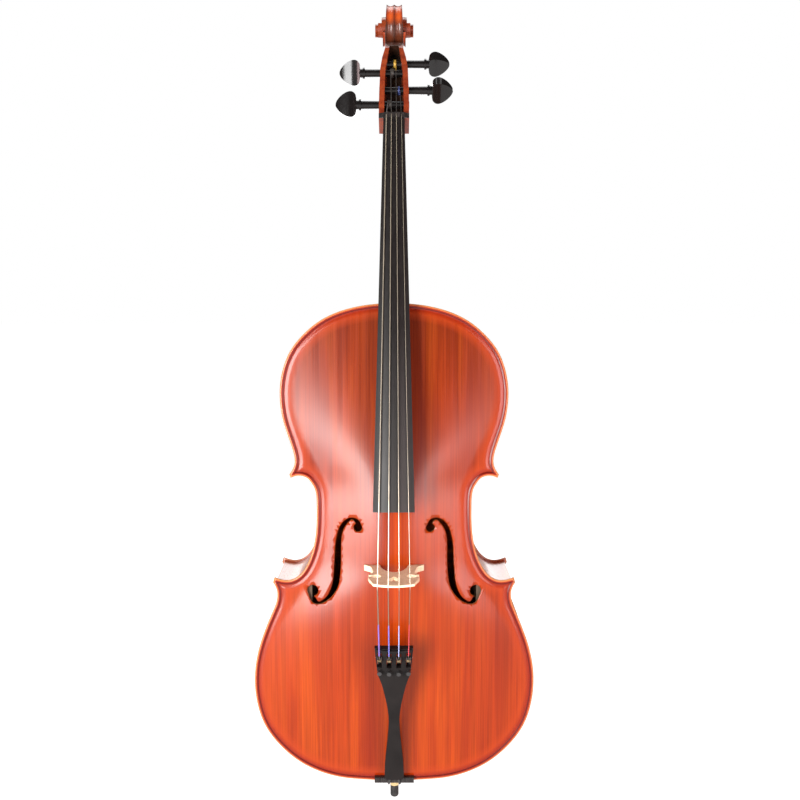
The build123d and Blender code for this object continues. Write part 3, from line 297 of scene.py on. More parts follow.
def neck_varnish():
    """Red-brown neck and scroll: brighter in the flutes, dark along the ridge, with painted shade inside
    the pegbox and under the scroll's chin.
    """
    s = Surface("neck_varnish", specular=0.26, coat=0.2, coat_roughness=0.16)
    flames = s.noise(1.0, 2.5, (9.0, 9.0, 90.0), 0.5, 0.6)
    pores = s.noise(1.0, 3.0, (420, 420, 30), 0.6)
    tones = [(0.34, (0.13, 0.017, 0.005)), (0.50, (0.175, 0.026, 0.007)), (0.66, (0.22, 0.038, 0.010))]
    base = s.ramp(flames, tones)
    base = s.stain(base, pores, 0.4, 0.34, 0.55, (0.50, 0.44, 0.40))
    flute = s.attribute("flute")
    hollow = [(0.04, (0.08, 0.011, 0.004)), (0.45, (0.28, 0.038, 0.007)), (1.0, (0.42, 0.066, 0.010))]
    base = s.mix(s.span(flute, 0.0, 0.85, 0.01, 0.10), base, s.ramp(flute, hollow))
    # The inner attribute is painted shade: nearly black inside the pegbox, darker under the scroll's
    # chin.
    s.colour(s.mix(s.attribute("inner"), base, (0.022, 0.010, 0.006)))
    s.rough(pores, 0.26, 0.38)
    s.bump(pores, 0.2, 0.0002)
    return s.material


def back_varnish():
    """Red-brown varnish on the back: flames across its width, and a rim with a painted highlight at its
    edge and painted shade in its channel.
    """
    s = Surface("back_varnish", specular=0.5, coat=0.35, coat_roughness=0.2)
    flames = s.noise(1.0, 2.5, (7, 7, 62), 0.5, 0.7)
    pores = s.noise(1.0, 3.0, (420, 200, 26), 0.6)
    cloud = s.noise(4.0, 3.0)
    tones = [(0.34, (0.30, 0.052, 0.011)), (0.50, (0.46, 0.088, 0.017)), (0.66, (0.64, 0.150, 0.028))]
    base = s.ramp(flames, tones)
    base = s.stain(base, pores, 0.4, 0.34, 0.55, (0.45, 0.40, 0.36))
    base = s.stain(base, cloud, 0.4, 0.30, 0.65, (0.62, 0.55, 0.5))
    # Near the edge the colours of MAPLE_EDGE take over: a painted highlight on the rim, painted shade in
    # the channel.
    rim = s.attribute("rim")
    at_rim = s.span(rim, 1.0, 0.0, 0.06, 0.24)
    s.colour(s.mix(at_rim, base, s.ramp(rim, MAPLE_EDGE)))
    s.rough(pores, 0.24, 0.36)
    s.bump(pores, 0.2, 0.0002)
    return s.material


def cut_wood(name, dark, light):
    """Bare or lightly stained wood, grain along Z."""
    s = Surface(name, roughness=0.6, specular=0.3)
    grain = s.noise(1.0, 3.0, (500, 300, 16), 0.6)
    s.colour(s.ramp(grain, [(0.3, dark), (0.7, light)]))
    s.rough(grain, 0.5, 0.7)
    s.bump(grain, 0.2, 0.0002)
    return s.material


def bridge_maple():
    """Pale waxed maple with small darker flecks."""
    s = Surface("bridge_maple", specular=0.4)
    grain = s.noise(1.0, 3.0, (60, 60, 420), 0.55)
    fleck = s.noise(1.0, 2.0, (900, 260, 900), 0.5)
    base = s.ramp(grain, [(0.3, (0.78, 0.58, 0.38)), (0.7, (0.90, 0.72, 0.50))])
    s.colour(s.stain(base, fleck, 0.5, 0.34, 0.46, (0.55, 0.40, 0.28)))
    s.rough(grain, 0.42, 0.55)
    s.bump(fleck, 0.15, 0.0002)
    return s.material


def ebony(name, low, high, light, specular, grey_low_end=False):
    """Black wood with fine lengthwise pores. low and high are its roughness. The last flag greys its low
    end.
    """
    s = Surface(name, specular=specular)
    grain = s.noise(1.0, 3.0, (900, 500, 18), 0.6)
    worn = s.noise(9.0, 3.0)
    base = s.ramp(grain, [(0.35, (0.004, 0.003, 0.003)), (0.7, (light, light * 0.86, light * 0.8))])
    if grey_low_end:
        base = s.mix(s.span(s.along("Z"), 0.55, 0.0, 0.50, 0.78), base, (0.045, 0.044, 0.042))
    s.colour(base)
    s.rough(worn, low, high)
    s.bump(grain, 0.25, 0.00015)
    return s.material


def moulded_black(name, colour, low, high, specular=0.4):
    """Fine-grained black plastic or coated metal."""
    s = Surface(name, specular=specular)
    grit = s.noise(2600, 2.0)
    patch = s.noise(40.0, 3.0)
    darker = tuple(c * 0.6 for c in colour)
    s.colour(s.ramp(patch, [(0.3, darker), (0.7, colour)]))
    s.rough(patch, low, high)
    s.bump(grit, 0.3, 0.00008)
    return s.material


def metal(name, dark, light, low, high):
    """Bare metal, with fine marks between two colours and between two roughnesses."""
    s = Surface(name, metallic=1.0, specular=0.5)
    marks = s.noise(1.0, 3.0, (400, 400, 400), 0.6)
    s.colour(s.ramp(marks, [(0.3, dark), (0.7, light)]))
    s.rough(marks, low, high)
    s.bump(marks, 0.1, 0.00003)
    return s.material


# Colours of a string change with height, as painted shade on one winding: darker below the bridge,
# unshaded between the bridge and the fingerboard, darker over the fingerboard and nearly black past the
# nut. Each pair is where a change starts and ends.
STRING_BRIDGE = (0.398, 0.408)
STRING_BOARD = (0.49, 0.60)
STRING_NUT = (1.09, 1.10)
STRING_TOP_BLEND = 0.004
WINDING_DARK = (0.50, 0.44, 0.33)
WINDING_LIGHT = (0.80, 0.74, 0.60)


def wound_string(name, top, top_from):
    """Flat winding with fine rings, and painted shade by height. top is the colour above top_from: the
    thread on the peg for d and a, painted shade for c and g.
    """
    s = Surface(name, metallic=0.35, specular=0.5)
    rings = s.node("ShaderNodeTexWave", wave_type="BANDS", bands_direction="Z")
    rings.inputs["Scale"].default_value = 700.0
    rings.inputs["Distortion"].default_value = 0.3
    s.link(s.place, rings.inputs["Vector"])
    stain = s.noise(30.0, 2.0)
    height = s.along("Z")
    # Painted shade: darker copies of the winding below the bridge, over the fingerboard and past the nut.
    painted_shade_below_bridge = tuple(c * 0.30 for c in WINDING_DARK)
    painted_shade_over_board = tuple(c * 0.42 for c in WINDING_DARK)
    unshaded_winding = s.ramp(stain, [(0.3, WINDING_DARK), (0.7, WINDING_LIGHT)])
    base = s.mix(s.span(height, 0.0, 1.0, *STRING_BRIDGE), painted_shade_below_bridge, unshaded_winding)
    base = s.mix(s.span(height, 0.0, 1.0, *STRING_BOARD), base, painted_shade_over_board)
    base = s.mix(s.span(height, 0.0, 1.0, *STRING_NUT), base, (0.04, 0.036, 0.032))
    base = s.mix(s.span(height, 0.0, 1.0, top_from, top_from + STRING_TOP_BLEND), base, top)
    s.colour(s.stain(base, rings.outputs["Fac"], 0.5, 0.1, 0.5, (0.6, 0.6, 0.6)))
    s.rough(stain, 0.28, 0.42)
    s.bump(rings.outputs["Fac"], 0.2, 0.00005)
    return s.material


def thread(name, colour):
    """Silk thread wound in close turns."""
    s = Surface(name, roughness=0.55, specular=0.4)
    s.put("Sheen Weight", 0.4)
    turns = s.node("ShaderNodeTexWave", wave_type="BANDS", bands_direction="Z")
    turns.inputs["Scale"].default_value = 420.0
    turns.inputs["Distortion"].default_value = 1.0
    s.link(s.place, turns.inputs["Vector"])
    darker = tuple(c * 0.45 for c in colour)
    s.colour(s.ramp(turns.outputs["Fac"], [(0.2, darker), (0.6, colour)]))
    s.rough(s.noise(300.0), 0.45, 0.65)
    s.bump(turns.outputs["Fac"], 0.35, 0.0001)
    return s.material


def rubber():
    """Scuffed matt black rubber."""
    s = Surface("tip_rubber", specular=0.3)
    grit = s.noise(900.0, 3.0)
    scuff = s.noise(120.0, 3.0)
    s.colour(s.ramp(scuff, [(0.35, (0.008, 0.008, 0.008)), (0.7, (0.03, 0.029, 0.028))]))
    s.rough(scuff, 0.5, 0.75)
    s.bump(grit, 0.4, 0.0001)
    return s.material


# Per string: the colour past the nut, the height where it starts, and the colour of the silk. Past the
# nut, c and g are painted shade, and d and a show the colour of their thread.
STRING_TOPS = {
    "c": (0.05, 0.045, 0.04), "g": (0.06, 0.055, 0.05),
    "d": (0.42, 0.26, 0.04), "a": (0.05, 0.07, 0.20),
}
STRING_TOPS_FROM = {"c": 1.10, "g": 1.16, "d": 1.168, "a": 1.126}
SILKS = {
    "c": (0.16, 0.09, 0.40), "g": (0.12, 0.12, 0.48),
    "d": (0.30, 0.36, 0.66), "a": (0.55, 0.03, 0.05),
}


def dress(material, *names):
    """Gives CAD nodes their material."""
    for name in names:
        node = nodes[name]
        if not node.material_slots:
            node.data.materials.append(material)
        for place in node.material_slots:
            place.material = material


def dress_body():
    """Ribs, inside woods, fingerboard, nut, saddle, plug and bridge."""
    ribs = [f"{part}_rib_{side}" for side in ("bass", "treble") for part in ("upper", "c", "lower")]
    dress(rib_varnish(), *ribs)
    # Painted shade: the linings, blocks, bass bar and sound post are much darker than bare wood, as the
    # inside of the body seen through the f-holes.
    painted_shade_willow = cut_wood("bare_willow", (0.030, 0.018, 0.010), (0.070, 0.042, 0.022))
    dress(painted_shade_willow, "front_linings", "back_linings", "corner_blocks", "top_block", "end_block")
    painted_shade_inner_spruce = cut_wood("bare_spruce", (0.10, 0.07, 0.04), (0.20, 0.15, 0.09))
    dress(painted_shade_inner_spruce, "bass_bar", "sound_post")
    dress(ebony("fingerboard_ebony", 0.34, 0.46, 0.010, 0.12, grey_low_end=True), "fingerboard")
    polished = ebony("polished_ebony", 0.22, 0.34, 0.030, 0.32)
    dress(polished, "nut", "saddle", "endpin_plug")
    dress(bridge_maple(), "bridge")


def dress_fittings():
    """Tailpiece, endpin, pegs, strings and tuners."""
    charcoal = moulded_black("tailpiece_black", (0.010, 0.008, 0.0075), 0.50, 0.64, specular=0.12)
    dress(charcoal, "tailpiece", "tailpiece_fret")
    dress(moulded_black("tailgut_black", (0.03, 0.028, 0.027), 0.3, 0.45), "tailgut")
    brass = metal("polished_brass", (0.62, 0.44, 0.20), (0.90, 0.72, 0.40), 0.16, 0.3)
    # Dark brass for the ball ends, darker than the polished brass.
    dark_brass = metal("dark_ball_brass", (0.10, 0.07, 0.04), (0.22, 0.16, 0.09), 0.3, 0.45)
    steel = metal("bright_steel", (0.45, 0.45, 0.46), (0.78, 0.78, 0.78), 0.14, 0.28)
    coated = moulded_black("coated_metal", (0.030, 0.029, 0.029), 0.3, 0.45)
    dress(brass, "endpin_ferrule")
    dress(steel, "endpin_rod", "endpin_thumb_screw", "tuner_pivot_pins")
    dress(rubber(), "endpin_tip")
    peg = ebony("peg_black", 0.12, 0.20, 0.006, 0.30)
    for name in STRINGS:
        wound = wound_string("wound_string_" + name, STRING_TOPS[name], STRING_TOPS_FROM[name])
        dress(peg, "peg_" + name)
        dress(wound, "string_" + name)
        dress(thread("silk_" + name, SILKS[name]), "silk_" + name)
        dress(dark_brass, "ball_end_" + name)
        dress(coated, "tuner_lever_" + name, "tuner_knob_" + name)
        dress(steel, "tuner_screw_" + name)


# ---------------------------------------------------------------- outline of the body
# Half outline in millimetres: (x, height above the body's lower end, heading in degrees).
LOWER_BOUT = [
    (0, 0, 0), (134, 22, 27), (190.5, 69.8, 52), (219.3, 163, 90), (205.7, 235.8, 110),
    (194.4, 264.7, 113.5), (182.2, 303.5, 90), (188.7, 322, 55),
]
C_BOUT = [
    (186.3, 330, 203), (167, 325.3, 180), (141.7, 339.5, 126), (126.2, 374, 105),
    (119.7, 436, 90), (121, 464.3, 80), (130.5, 483, 52), (147, 490.2, 0), (159.5, 486.8, -25),
]
UPPER_BOUT = [
    (161.4, 492.2, 128), (152.9, 513, 90), (155.8, 530, 73), (167.7, 567, 73),
    (174.9, 616, 90), (165.1, 668, 111), (126.6, 718.1, 140), (73.4, 745.5, 164),
    (0, 755, 180),
]


BUTTON_RADIUS = 0.015       # half width of the back's button
BUTTON_CENTRE = 0.012       # centre of its round end above the body's length


def unit(degrees):
    return np.array([math.cos(math.radians(degrees)), math.sin(math.radians(degrees))])


def arc_points(p0, direction, p1, step):
    """Points from p0 up to p1 on the arc that leaves p0 along a direction."""
    chord = p1 - p0
    normal = np.array([-direction[1], direction[0]])
    offset = 2 * chord.dot(normal)
    count = max(2, round(np.linalg.norm(chord) / step))
    if abs(offset) < 1e-9:
        return [p0 + chord * k / count for k in range(count)]
    radius = chord.dot(chord) / offset
    centre = p0 + normal * radius
    a0 = math.atan2(*(p0 - centre)[::-1])
    sweep = math.atan2(*(p1 - centre)[::-1]) - a0
    while sweep * radius < 0:
        sweep += math.copysign(2 * math.pi, radius)
    while abs(sweep) > 2 * math.pi:
        sweep -= math.copysign(2 * math.pi, sweep)
    angles = [a0 + sweep * k / count for k in range(count)]
    return [centre + abs(radius) * np.array([math.cos(a), math.sin(a)]) for a in angles]


def stretch_points(corners, step):
    """Points along one stretch: two tangent arcs between each pair of corners."""
    points = []
    for start, end in zip(corners, corners[1:]):
        p0, p1 = np.array(start[:2]) / 1000, np.array(end[:2]) / 1000
        t0, t1 = unit(start[2]), unit(end[2])
        v = p1 - p0
        total = t0 + t1
        denominator = 2 * (1 - t0.dot(t1))
        if denominator < 1e-9:
            reach = v.dot(v) / (4 * v.dot(t1))
        else:
            reach = (math.sqrt(v.dot(total) ** 2 + denominator * v.dot(v)) - v.dot(total)) / denominator
        middle = (p0 + t0 * reach + p1 - t1 * reach) / 2
        chord = p1 - middle
        chord = chord / np.linalg.norm(chord)
        points += arc_points(p0, t0, middle, step)
        points += arc_points(middle, 2 * chord * t1.dot(chord) - t1, p1, step)
    points.append(np.array(corners[-1][:2]) / 1000)
    return points


def outline(step, button):
    """The closed outline as (x, height) points, anticlockwise from the bottom."""
    half = np.array([p for bout in (LOWER_BOUT, C_BOUT, UPPER_BOUT) for p in stretch_points(bout, step)])
    if button:
        base = half[half[:, 0] > BUTTON_RADIUS]
        side = [(BUTTON_RADIUS, BODY_LENGTH + 0.002 * k) for k in range(1, 6)]
        quarter = np.linspace(0, math.pi / 2, 13)
        cap = [(BUTTON_RADIUS * math.cos(a), BODY_LENGTH + BUTTON_CENTRE + BUTTON_RADIUS * math.sin(a))
               for a in quarter]
        half = np.vstack([half[:1], base, side, cap])
    left = half[1:-1][::-1] * (-1, 1)
    return np.vstack([half, left])


# ---------------------------------------------------------------- arching
ARCH_WIDTHS = [     # millimetres: height above the body's lower end, width measure of the arch
    (-20, 325), (25, 315), (70, 267), (164, 231), (245, 192), (300, 152), (345, 118), (390, 107.5),
    (430, 105), (475, 107.5), (515, 127.5), (567, 162.5), (619, 189), (700, 223), (735, 256), (775, 268),
]


def arch_width(height):
    """Smooth curve through ARCH_WIDTHS, for an array of heights in metres."""
    knots = np.array(ARCH_WIDTHS) / 1000
    i = np.clip(np.searchsorted(knots[:, 0], height) - 1, 0, len(knots) - 2)
    before, low = knots[np.maximum(i - 1, 0)], knots[i]
    high, after = knots[i + 1], knots[np.minimum(i + 2, len(knots) - 1)]
    span = high[:, 0] - low[:, 0]
    slope_low = (high[:, 1] - before[:, 1]) / (high[:, 0] - before[:, 0]) * span
    slope_high = (after[:, 1] - low[:, 1]) / (after[:, 0] - low[:, 0]) * span
    t = (height - low[:, 0]) / span
    return (low[:, 1] * (2 * t ** 3 - 3 * t ** 2 + 1) + slope_low * (t ** 3 - 2 * t ** 2 + t)
            + high[:, 1] * (3 * t ** 2 - 2 * t ** 3) + slope_high * (t ** 3 - t ** 2))


def arch_share(points):
    """Rise of the arch at (x, height) points, as a share of its full rise."""
    half_length = BODY_LENGTH / 2 - PLATE_MARGIN
    u = np.abs(points[:, 1] - BODY_LENGTH / 2) / half_length
    v = np.abs(points[:, 0]) / arch_width(points[:, 1])
    rho = (u ** 2.5 + v ** 2.5) ** 0.4
    wave = 0.5 * (1 + np.cos(np.pi * np.minimum(rho, 1.0)))
    return np.maximum(0.6 * wave + 0.4 * (1 - rho ** 2), 0.0)


# ---------------------------------------------------------------- f-holes
UPPER_EYE = (55.7, 411.9, 6.7)      # x, height, radius
LOWER_EYE = (126.5, 310.2, 8.8)
F_FAR_SIDE = [(49.3, 413.5), (54.2, 423.3), (62.5, 427), (73, 424.4), (84.1, 411.6), (90.7, 386.4),
              (93.1, 348.9), (95.9, 322.4), (103, 304.5), (112.9, 295.2), (118.3, 294.2), (122.6, 300.2)]
F_NEAR_SIDE = [(58.8, 418.2), (62.5, 423), (67.9, 421.8), (77.6, 408.4), (81.6, 390.8), (82.2, 354.4),
               (85.1, 324.6), (92, 308), (104.2, 295.2), (118, 289.2), (128.1, 292.8), (135.2, 308)]


def smooth_line(points, per_span):
    """Catmull-Rom curve through points."""
    p = np.array(points, float)
    p = np.vstack([2 * p[0] - p[1], p, 2 * p[-1] - p[-2]])
    out = []
    for i in range(1, len(p) - 2):
        for k in range(per_span):
            t = k / per_span
            out.append(0.5 * (2 * p[i] + (p[i + 1] - p[i - 1]) * t
                              + (2 * p[i - 1] - 5 * p[i] + 4 * p[i + 1] - p[i + 2]) * t ** 2
                              + (3 * p[i] - p[i - 1] - 3 * p[i + 1] + p[i + 2]) * t ** 3))
    out.append(p[-2])
    return np.array(out)


def f_hole_loops():
    """Outlines of one f-hole's pieces in metres: its curved body and its two eyes."""
    far = smooth_line(F_FAR_SIDE, 8)
    near = smooth_line(F_NEAR_SIDE, 8)
    loops = [np.vstack([far, near[::-1]])]
    for x, height, radius in (UPPER_EYE, LOWER_EYE):
        angles = np.linspace(0, 2 * math.pi, 49)[:-1]
        loops.append(np.column_stack([x + radius * np.cos(angles), height + radius * np.sin(angles)]))
    return [loop / 1000 for loop in loops]


def inside(points, loop):
    """Which points lie in a closed loop."""
    x, y = points[:, 0][:, None], points[:, 1][:, None]
    x0, y0 = loop[:, 0], loop[:, 1]
    x1, y1 = np.roll(x0, -1), np.roll(y0, -1)
    crosses = (y0 > y) != (y1 > y)
    with np.errstate(divide="ignore", invalid="ignore"):
        at = (x1 - x0) * (y - y0) / (y1 - y0) + x0
    return (crosses & (x < at)).sum(1) % 2 == 1


DISTANCE_BATCH = 1500       # points measured at once, to keep the arrays small


def distance_to(points, loop):
    """Distance of each point to a closed polyline."""
    a = loop
    d = np.roll(loop, -1, axis=0) - a
    length = np.maximum((d ** 2).sum(1), 1e-18)
    best = np.full(len(points), 1e9)
    for start in range(0, len(points), DISTANCE_BATCH):
        batch = slice(start, start + DISTANCE_BATCH)
        p = points[batch]
        t = ((p[:, None, :] - a) * d).sum(2) / length
        nearest = a + d * np.clip(t, 0, 1)[:, :, None]
        best[batch] = np.sqrt(((p[:, None, :] - nearest) ** 2).sum(2)).min(1)
    return best


ROW_SLACK = 0.00004         # how much nearer the outline a row's points may lie
LATTICE_HALF = 0.225        # the grid covers the widest bout
LATTICE_TOP = 0.80          # and the whole length with the button


def plate_points(loop, insets, grid):
    """Points for a plate: the outline, rows inside it and a grid over the rest."""
    forward = np.roll(loop, -1, axis=0) - np.roll(loop, 1, axis=0)
    forward = forward / np.maximum(np.linalg.norm(forward, axis=1), 1e-12)[:, None]
    inward = np.column_stack([-forward[:, 1], forward[:, 0]])
    rows = [loop]
    for inset in insets:
        row = loop + inward * inset
        row = row[inside(row, loop)]
        rows.append(row[distance_to(row, loop) > inset - ROW_SLACK])
    xs = np.arange(-LATTICE_HALF, LATTICE_HALF + 0.0001, grid)
    zs = np.arange(0.0, LATTICE_TOP, grid)
    lattice = np.array([(x + (grid / 2 if j % 2 else 0), z) for j, z in enumerate(zs) for x in xs])
    lattice = lattice[inside(lattice, loop)]
    rows.append(lattice[distance_to(lattice, loop) > insets[-1] + grid * 0.5])
    return rows


EDGE_INSETS = [0.0004, 0.0010, 0.0018, 0.0028, 0.0040, 0.0046, 0.0052, 0.0058, 0.0066, 0.0078, 0.0092,
               0.0110, 0.0132, 0.0160]
EDGE_ROUND = 0.0028         # how far in the rounded edge reaches
EDGE_DROP = 0.0019          # how far the rounded edge falls at the side
CHANNEL_DEEP = 0.0010
CHANNEL_AT = 0.0075         # distance of the channel's bottom from the edge
CHANNEL_WIDE = 0.0028
OUTLINE_STEP = 0.0025
PLATE_GRID = 0.006
FLAT_INSIDE = 0.012         # the inner skin lies on the glue plane this far in from the edge
SKIN_GAP = 0.0002           # the skins are this much closer than the edge is thick
RIM_SCALE = 10              # the rim attribute is the distance from the edge times this
HOLE_WALL_FROM = 0.002      # a wall farther than this from the outline is a hole's


def outer_rise(points, depth, arch):
    """Height of the outside above the glue plane: rounded edge, channel and arch."""
    shortfall = np.clip((EDGE_ROUND - depth) / EDGE_ROUND, 0, 1)
    rounded = EDGE_DROP * (1 - np.sqrt(1 - shortfall ** 2))
    channel = CHANNEL_DEEP * np.exp(-((depth - CHANNEL_AT) / CHANNEL_WIDE) ** 2)
    return EDGE_THICK + arch * arch_share(points) - rounded - channel


def flat_plate(loop, holes):
    """Triangles over the outline with its holes left out: (x, height) vertices and indices."""
    rows = plate_points(loop, EDGE_INSETS, PLATE_GRID)
    points = [p for row in rows for p in row]
    edges = [(i, (i + 1) % len(loop)) for i in range(len(loop))]
    for hole in holes:
        first = len(points)
        points += list(hole)
        edges += [(first + i, first + (i + 1) % len(hole)) for i in range(len(hole))]
    flat = [Vector(p) for p in points]
    verts, _, triangles, _, _, _ = delaunay_2d_cdt(flat, edges, [], 0, 1e-7)
    verts = np.array([tuple(v) for v in verts])
    triangles = np.array(triangles)
    centres = verts[triangles].mean(1)
    keep = inside(centres, loop)
    for hole in holes:
        keep &= ~inside(centres, hole)
    triangles = triangles[keep]
    used = np.unique(triangles)
    renumber = np.full(len(verts), -1)
    renumber[used] = np.arange(len(used))
    return verts[used], renumber[triangles]


def border_edges(triangles):
    """Edges that only one triangle has, in that triangle's direction."""
    directed = {}
    for a, b, c in triangles:
        for edge in ((a, b), (b, c), (c, a)):
            directed[edge] = True
    return [(a, b) for a, b in directed if (b, a) not in directed]


def make_plate(name, side, arch, holes, button):
    """Arched plate with two skins, rounded edge and cut holes. side is -1 in front, +1 behind."""
    loop = outline(OUTLINE_STEP, button)
    verts, triangles = flat_plate(loop, holes)
    depth = distance_to(verts, loop)
    outer = outer_rise(verts, depth, arch)
    inner = np.maximum(outer - EDGE_THICK + SKIN_GAP, 0.0)
    inner[depth < FLAT_INSIDE] = 0.0
    count = len(verts)
    top = np.column_stack([verts[:, 0], side * (GLUE_Y + outer), BODY_Z + verts[:, 1]])
    bottom = np.column_stack([verts[:, 0], side * (GLUE_Y + inner), BODY_Z + verts[:, 1]])
    border = border_edges(triangles)
    first, second, third = (verts[triangles[:, k]] for k in range(3))
    area = np.cross(second - first, third - first)
    flip = (area.sum() > 0) != (side > 0)
    faces = []
    for a, b, c in triangles:
        faces.append((c, b, a) if flip else (a, b, c))
        faces.append((a + count, b + count, c + count) if flip else (c + count, b + count, a + count))
    for a, b in border:
        faces.append((a, b, b + count, a + count) if flip else (b, a, a + count, b + count))
    mesh = bpy.data.meshes.new(name)
    mesh.from_pydata([tuple(v) for v in np.vstack([top, bottom])], [], faces)
    rim = mesh.attributes.new("rim", "FLOAT", "POINT")
    rim.data.foreach_set("value", np.concatenate([depth, depth]) * RIM_SCALE)
    mesh.polygons.foreach_set("use_smooth", [True] * len(mesh.polygons))
    plate = bpy.data.objects.new(name, mesh)
    scene.collection.objects.link(plate)
    mid = (verts[[a for a, _ in border]] + verts[[b for _, b in border]]) / 2
    at_hole = distance_to(mid, loop) > HOLE_WALL_FROM
    first_wall = 2 * len(triangles)
    for index, holed in enumerate(at_hole):
        mesh.polygons[first_wall + index].material_index = 1 if holed else 0
        mesh.polygons[first_wall + index].use_smooth = not holed
    return plate


def make_front():
    """The belly with its two f-holes."""
    loops = f_hole_loops()
    mirrored = [(loop * (-1, 1))[::-1] for loop in loops]
    plate = make_plate("belly", -1, FRONT_ARCH, loops + mirrored, False)
    plate.data.materials.append(spruce_varnish())
    plate.data.materials.append(cut_wood("f_hole_edge", (0.10, 0.035, 0.012), (0.34, 0.16, 0.06)))
    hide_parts("front_plate", "front_purfling")
    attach(plate, "corpus")


def make_back():
    """The back with its button."""
    plate = make_plate("back", 1, BACK_ARCH, [], True)
    plate.data.materials.append(back_varnish())
    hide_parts("back_plate", "back_purfling")
    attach(plate, "corpus")


# ---------------------------------------------------------------- neck and scroll
HEAD_ORIGIN = Vector((0, -0.04281, 1.09376))
HEAD_Y = Vector((0, 0.91355, -0.40674))     # towards the back of the pegbox
HEAD_Z = Vector((0, 0.40674, 0.91355))      # up along the pegbox
VOLUTE = (0.030, 0.180)                     # centre of the volute in the head's own y and z
VOLUTE_FROM = 0.1455                        # head height where the volute begins
VOLUTE_RIM = 0.0255                         # its outer rim is farther than this from its centre
FLUTE_DEEP = 0.0026
FLUTE_FROM = 0.004                          # head height where the flutes begin
FLUTE_FADE = 0.030                          # and the length over which they reach full depth
TURN_FLUTE = 0.35                           # depth of a flute on the volute's turns, as a share
# Axes of the pegs across the head: y and z in the shared frame.
PEG_AXES = [(-0.0159912, 1.11466), (0.00739619, 1.16719), (0.0141073, 1.18226), (-0.00541601, 1.13841)]
PEG_HOLE_REACH = 0.0085                     # vertices this near an axis are the rim of a peg hole
PEG_CLEARANCE = 0.0002                      # lets the flats of a turning peg clear those of its hole
# Half width of the head, with the head height it belongs to.
HEAD_WIDTHS = [(0.0230, 0.0), (0.0218, 0.040), (0.0195, 0.084), (0.0150, 0.121), (0.0135, 0.150),
               (0.0128, 0.180), (0.0115, 0.222)]
TURN_WIDTHS = [0.0136, 0.0180, 0.0200, 0.0255, 0.0303]      # half widths of the volute's turns
PEGBOX_UNCARVED = (0.0335, 0.128)           # no flutes nearer the front and lower than this y and z
PEGBOX_PAINTED_SHADE_Y = (0.0015, 0.034)             # painted shade fills the inside of the pegbox between these
PEGBOX_PAINTED_SHADE_Z = (0.003, 0.129)
CHIN_PAINTED_SHADE_Z = (0.1285, 0.178)               # the shade under the scroll's chin
CHIN_HALF_WIDTH = 0.0145
CHIN_Y = 0.030                              # it reaches this far back
CHIN_FADE = 0.014                           # and fades over this height at its top
# the most painted shade under the chin, as a share
CHIN_PAINTED_SHADE = 0.86
HEAD_FROM = 0.002                           # the head is above this head height
RIM_FACING = 0.35                           # a rim face's normal has less of x than this
CUT_REACH = 0.0300                          # the head is cut from -x to +x
CUT_STEP = 0.00125
SHARP_ANGLE = 32                            # degrees


def head_place(point):
    """A point's y and z in the head's own frame."""
    offset = point - HEAD_ORIGIN
    return offset.dot(HEAD_Y), offset.dot(HEAD_Z)


def head_half_width(height):
    return float(np.interp(height, [z for _, z in HEAD_WIDTHS], [w for w, _ in HEAD_WIDTHS]))


def flute_share(point, normal):
    """0 on ridge and edges, 1 in the middle of a flute, for a point of the scroll's rim."""
    y, z = head_place(point)
    facing_back = normal.dot(HEAD_Y)
    radius = math.hypot(y - VOLUTE[0], z - VOLUTE[1])
    on_volute = z > VOLUTE_FROM and radius > VOLUTE_RIM
    fade = 1.0 if on_volute else min(max((z - FLUTE_FROM) / FLUTE_FADE, 0.0), 1.0)
    x = abs(point.x)
    width = head_half_width(z)
    if on_volute and x > width:
        edges = [w for w in TURN_WIDTHS if w > x + 0.0001]
        inner = [width] + [w for w in TURN_WIDTHS if w <= x + 0.0001 and w > width]
        if not edges:
            return 0.0
        return TURN_FLUTE * math.sin(math.pi * (x - inner[-1]) / (edges[0] - inner[-1] + 1e-6))
    if not on_volute and facing_back < 0.3:
        return 0.0
    return fade * math.sin(math.pi * min(x / width, 1.0))


def between(value, limits):
    return limits[0] < value < limits[1]


def painted_shade_share(point):
    """Painted shade: 1 inside the pegbox, less in the hollow under the scroll's chin and 0 elsewhere."""
    y, z = head_place(point)
    x = abs(point.x)
    room = 0.0150 - 0.0060 * max(z - 0.030, 0) / 0.098      # half width of the pegbox's inside
    if between(z, PEGBOX_PAINTED_SHADE_Z) and between(y, PEGBOX_PAINTED_SHADE_Y) and x < room + 0.0004:
        return 1.0
    if y < CHIN_Y and x < CHIN_HALF_WIDTH and between(z, CHIN_PAINTED_SHADE_Z):
        return min(max((CHIN_PAINTED_SHADE_Z[1] - z) / CHIN_FADE, 0.0), CHIN_PAINTED_SHADE)
    return 0.0


def is_rim(face):
    """Whether a face looks along the head's rim and not out of its sides."""
    return abs(face.normal.x) < RIM_FACING


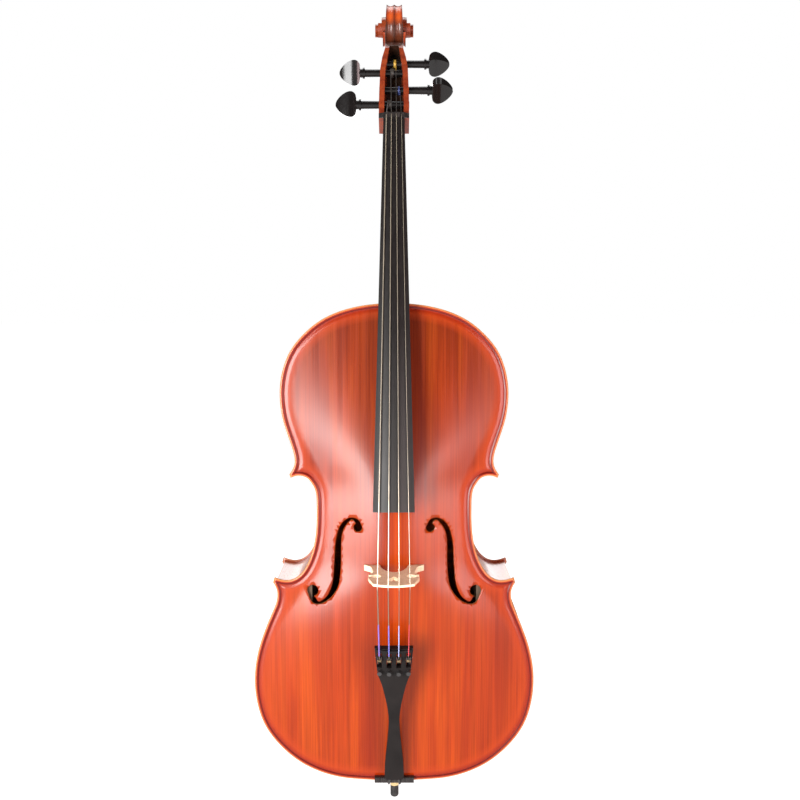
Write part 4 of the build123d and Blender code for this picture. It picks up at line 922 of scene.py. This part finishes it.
def carve_share(vert):
    """How deep a flute is at a vertex. The pegbox's inside and the sides have none."""
    y, z = head_place(vert.co)
    in_pegbox = y < PEGBOX_UNCARVED[0] and z < PEGBOX_UNCARVED[1]
    if z > HEAD_FROM and not in_pegbox and all(is_rim(f) for f in vert.link_faces):
        return flute_share(vert.co, vert.normal)
    return 0.0


def cut_rim(mesh):
    """Cuts the head's rim by planes across x, so that it has vertices for the flutes."""
    for x in np.arange(-CUT_REACH, CUT_REACH + 0.0001, CUT_STEP):
        rim = [f for f in mesh.faces if is_rim(f) and head_place(f.calc_center_median())[1] > HEAD_FROM]
        parts = set(rim)
        for face in rim:
            parts.update(face.edges)
            parts.update(face.verts)
        bmesh.ops.bisect_plane(mesh, geom=list(parts), dist=1e-7, plane_co=(x, 0, 0), plane_no=(1, 0, 0))


def make_neck():
    """The CAD neck with two flutes carved along the back of the pegbox and round the scroll."""
    source = nodes["neck"]
    mesh = bmesh.new()
    mesh.from_mesh(source.data)
    mesh.transform(source.matrix_world)
    bmesh.ops.remove_doubles(mesh, verts=mesh.verts, dist=0.000002)
    cut_rim(mesh)
    mesh.normal_update()
    flutes = [carve_share(v) for v in mesh.verts]
    # inner is the painted shade inside the pegbox and under the chin.
    inner = [painted_shade_share(v.co) for v in mesh.verts]
    moved = [v.co - v.normal * FLUTE_DEEP * max(share, 0.0) for v, share in zip(mesh.verts, flutes)]
    for vert, place in zip(mesh.verts, moved):
        vert.co = place
        for y, z in PEG_AXES:
            out = Vector((0, place.y - y, place.z - z))
            if out.length < PEG_HOLE_REACH:
                vert.co += out.normalized() * PEG_CLEARANCE
    mesh.verts.index_update()
    faces = [tuple(v.index for v in f.verts) for f in mesh.faces]
    data = bpy.data.meshes.new("neck_carved")
    data.from_pydata([tuple(v.co) for v in mesh.verts], [], faces)
    mesh.free()
    for name, values in (("flute", flutes), ("inner", inner)):
        layer = data.attributes.new(name, "FLOAT", "POINT")
        layer.data.foreach_set("value", values)
    data.polygons.foreach_set("use_smooth", [True] * len(data.polygons))
    data.set_sharp_from_angle(angle=math.radians(SHARP_ANGLE))
    neck = bpy.data.objects.new("neck_carved", data)
    scene.collection.objects.link(neck)
    data.materials.append(neck_varnish())
    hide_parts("neck")
    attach(neck, "corpus")


make_camera()
make_light()
make_floor()
dress_body()
dress_fittings()
make_front()
make_back()
make_neck()
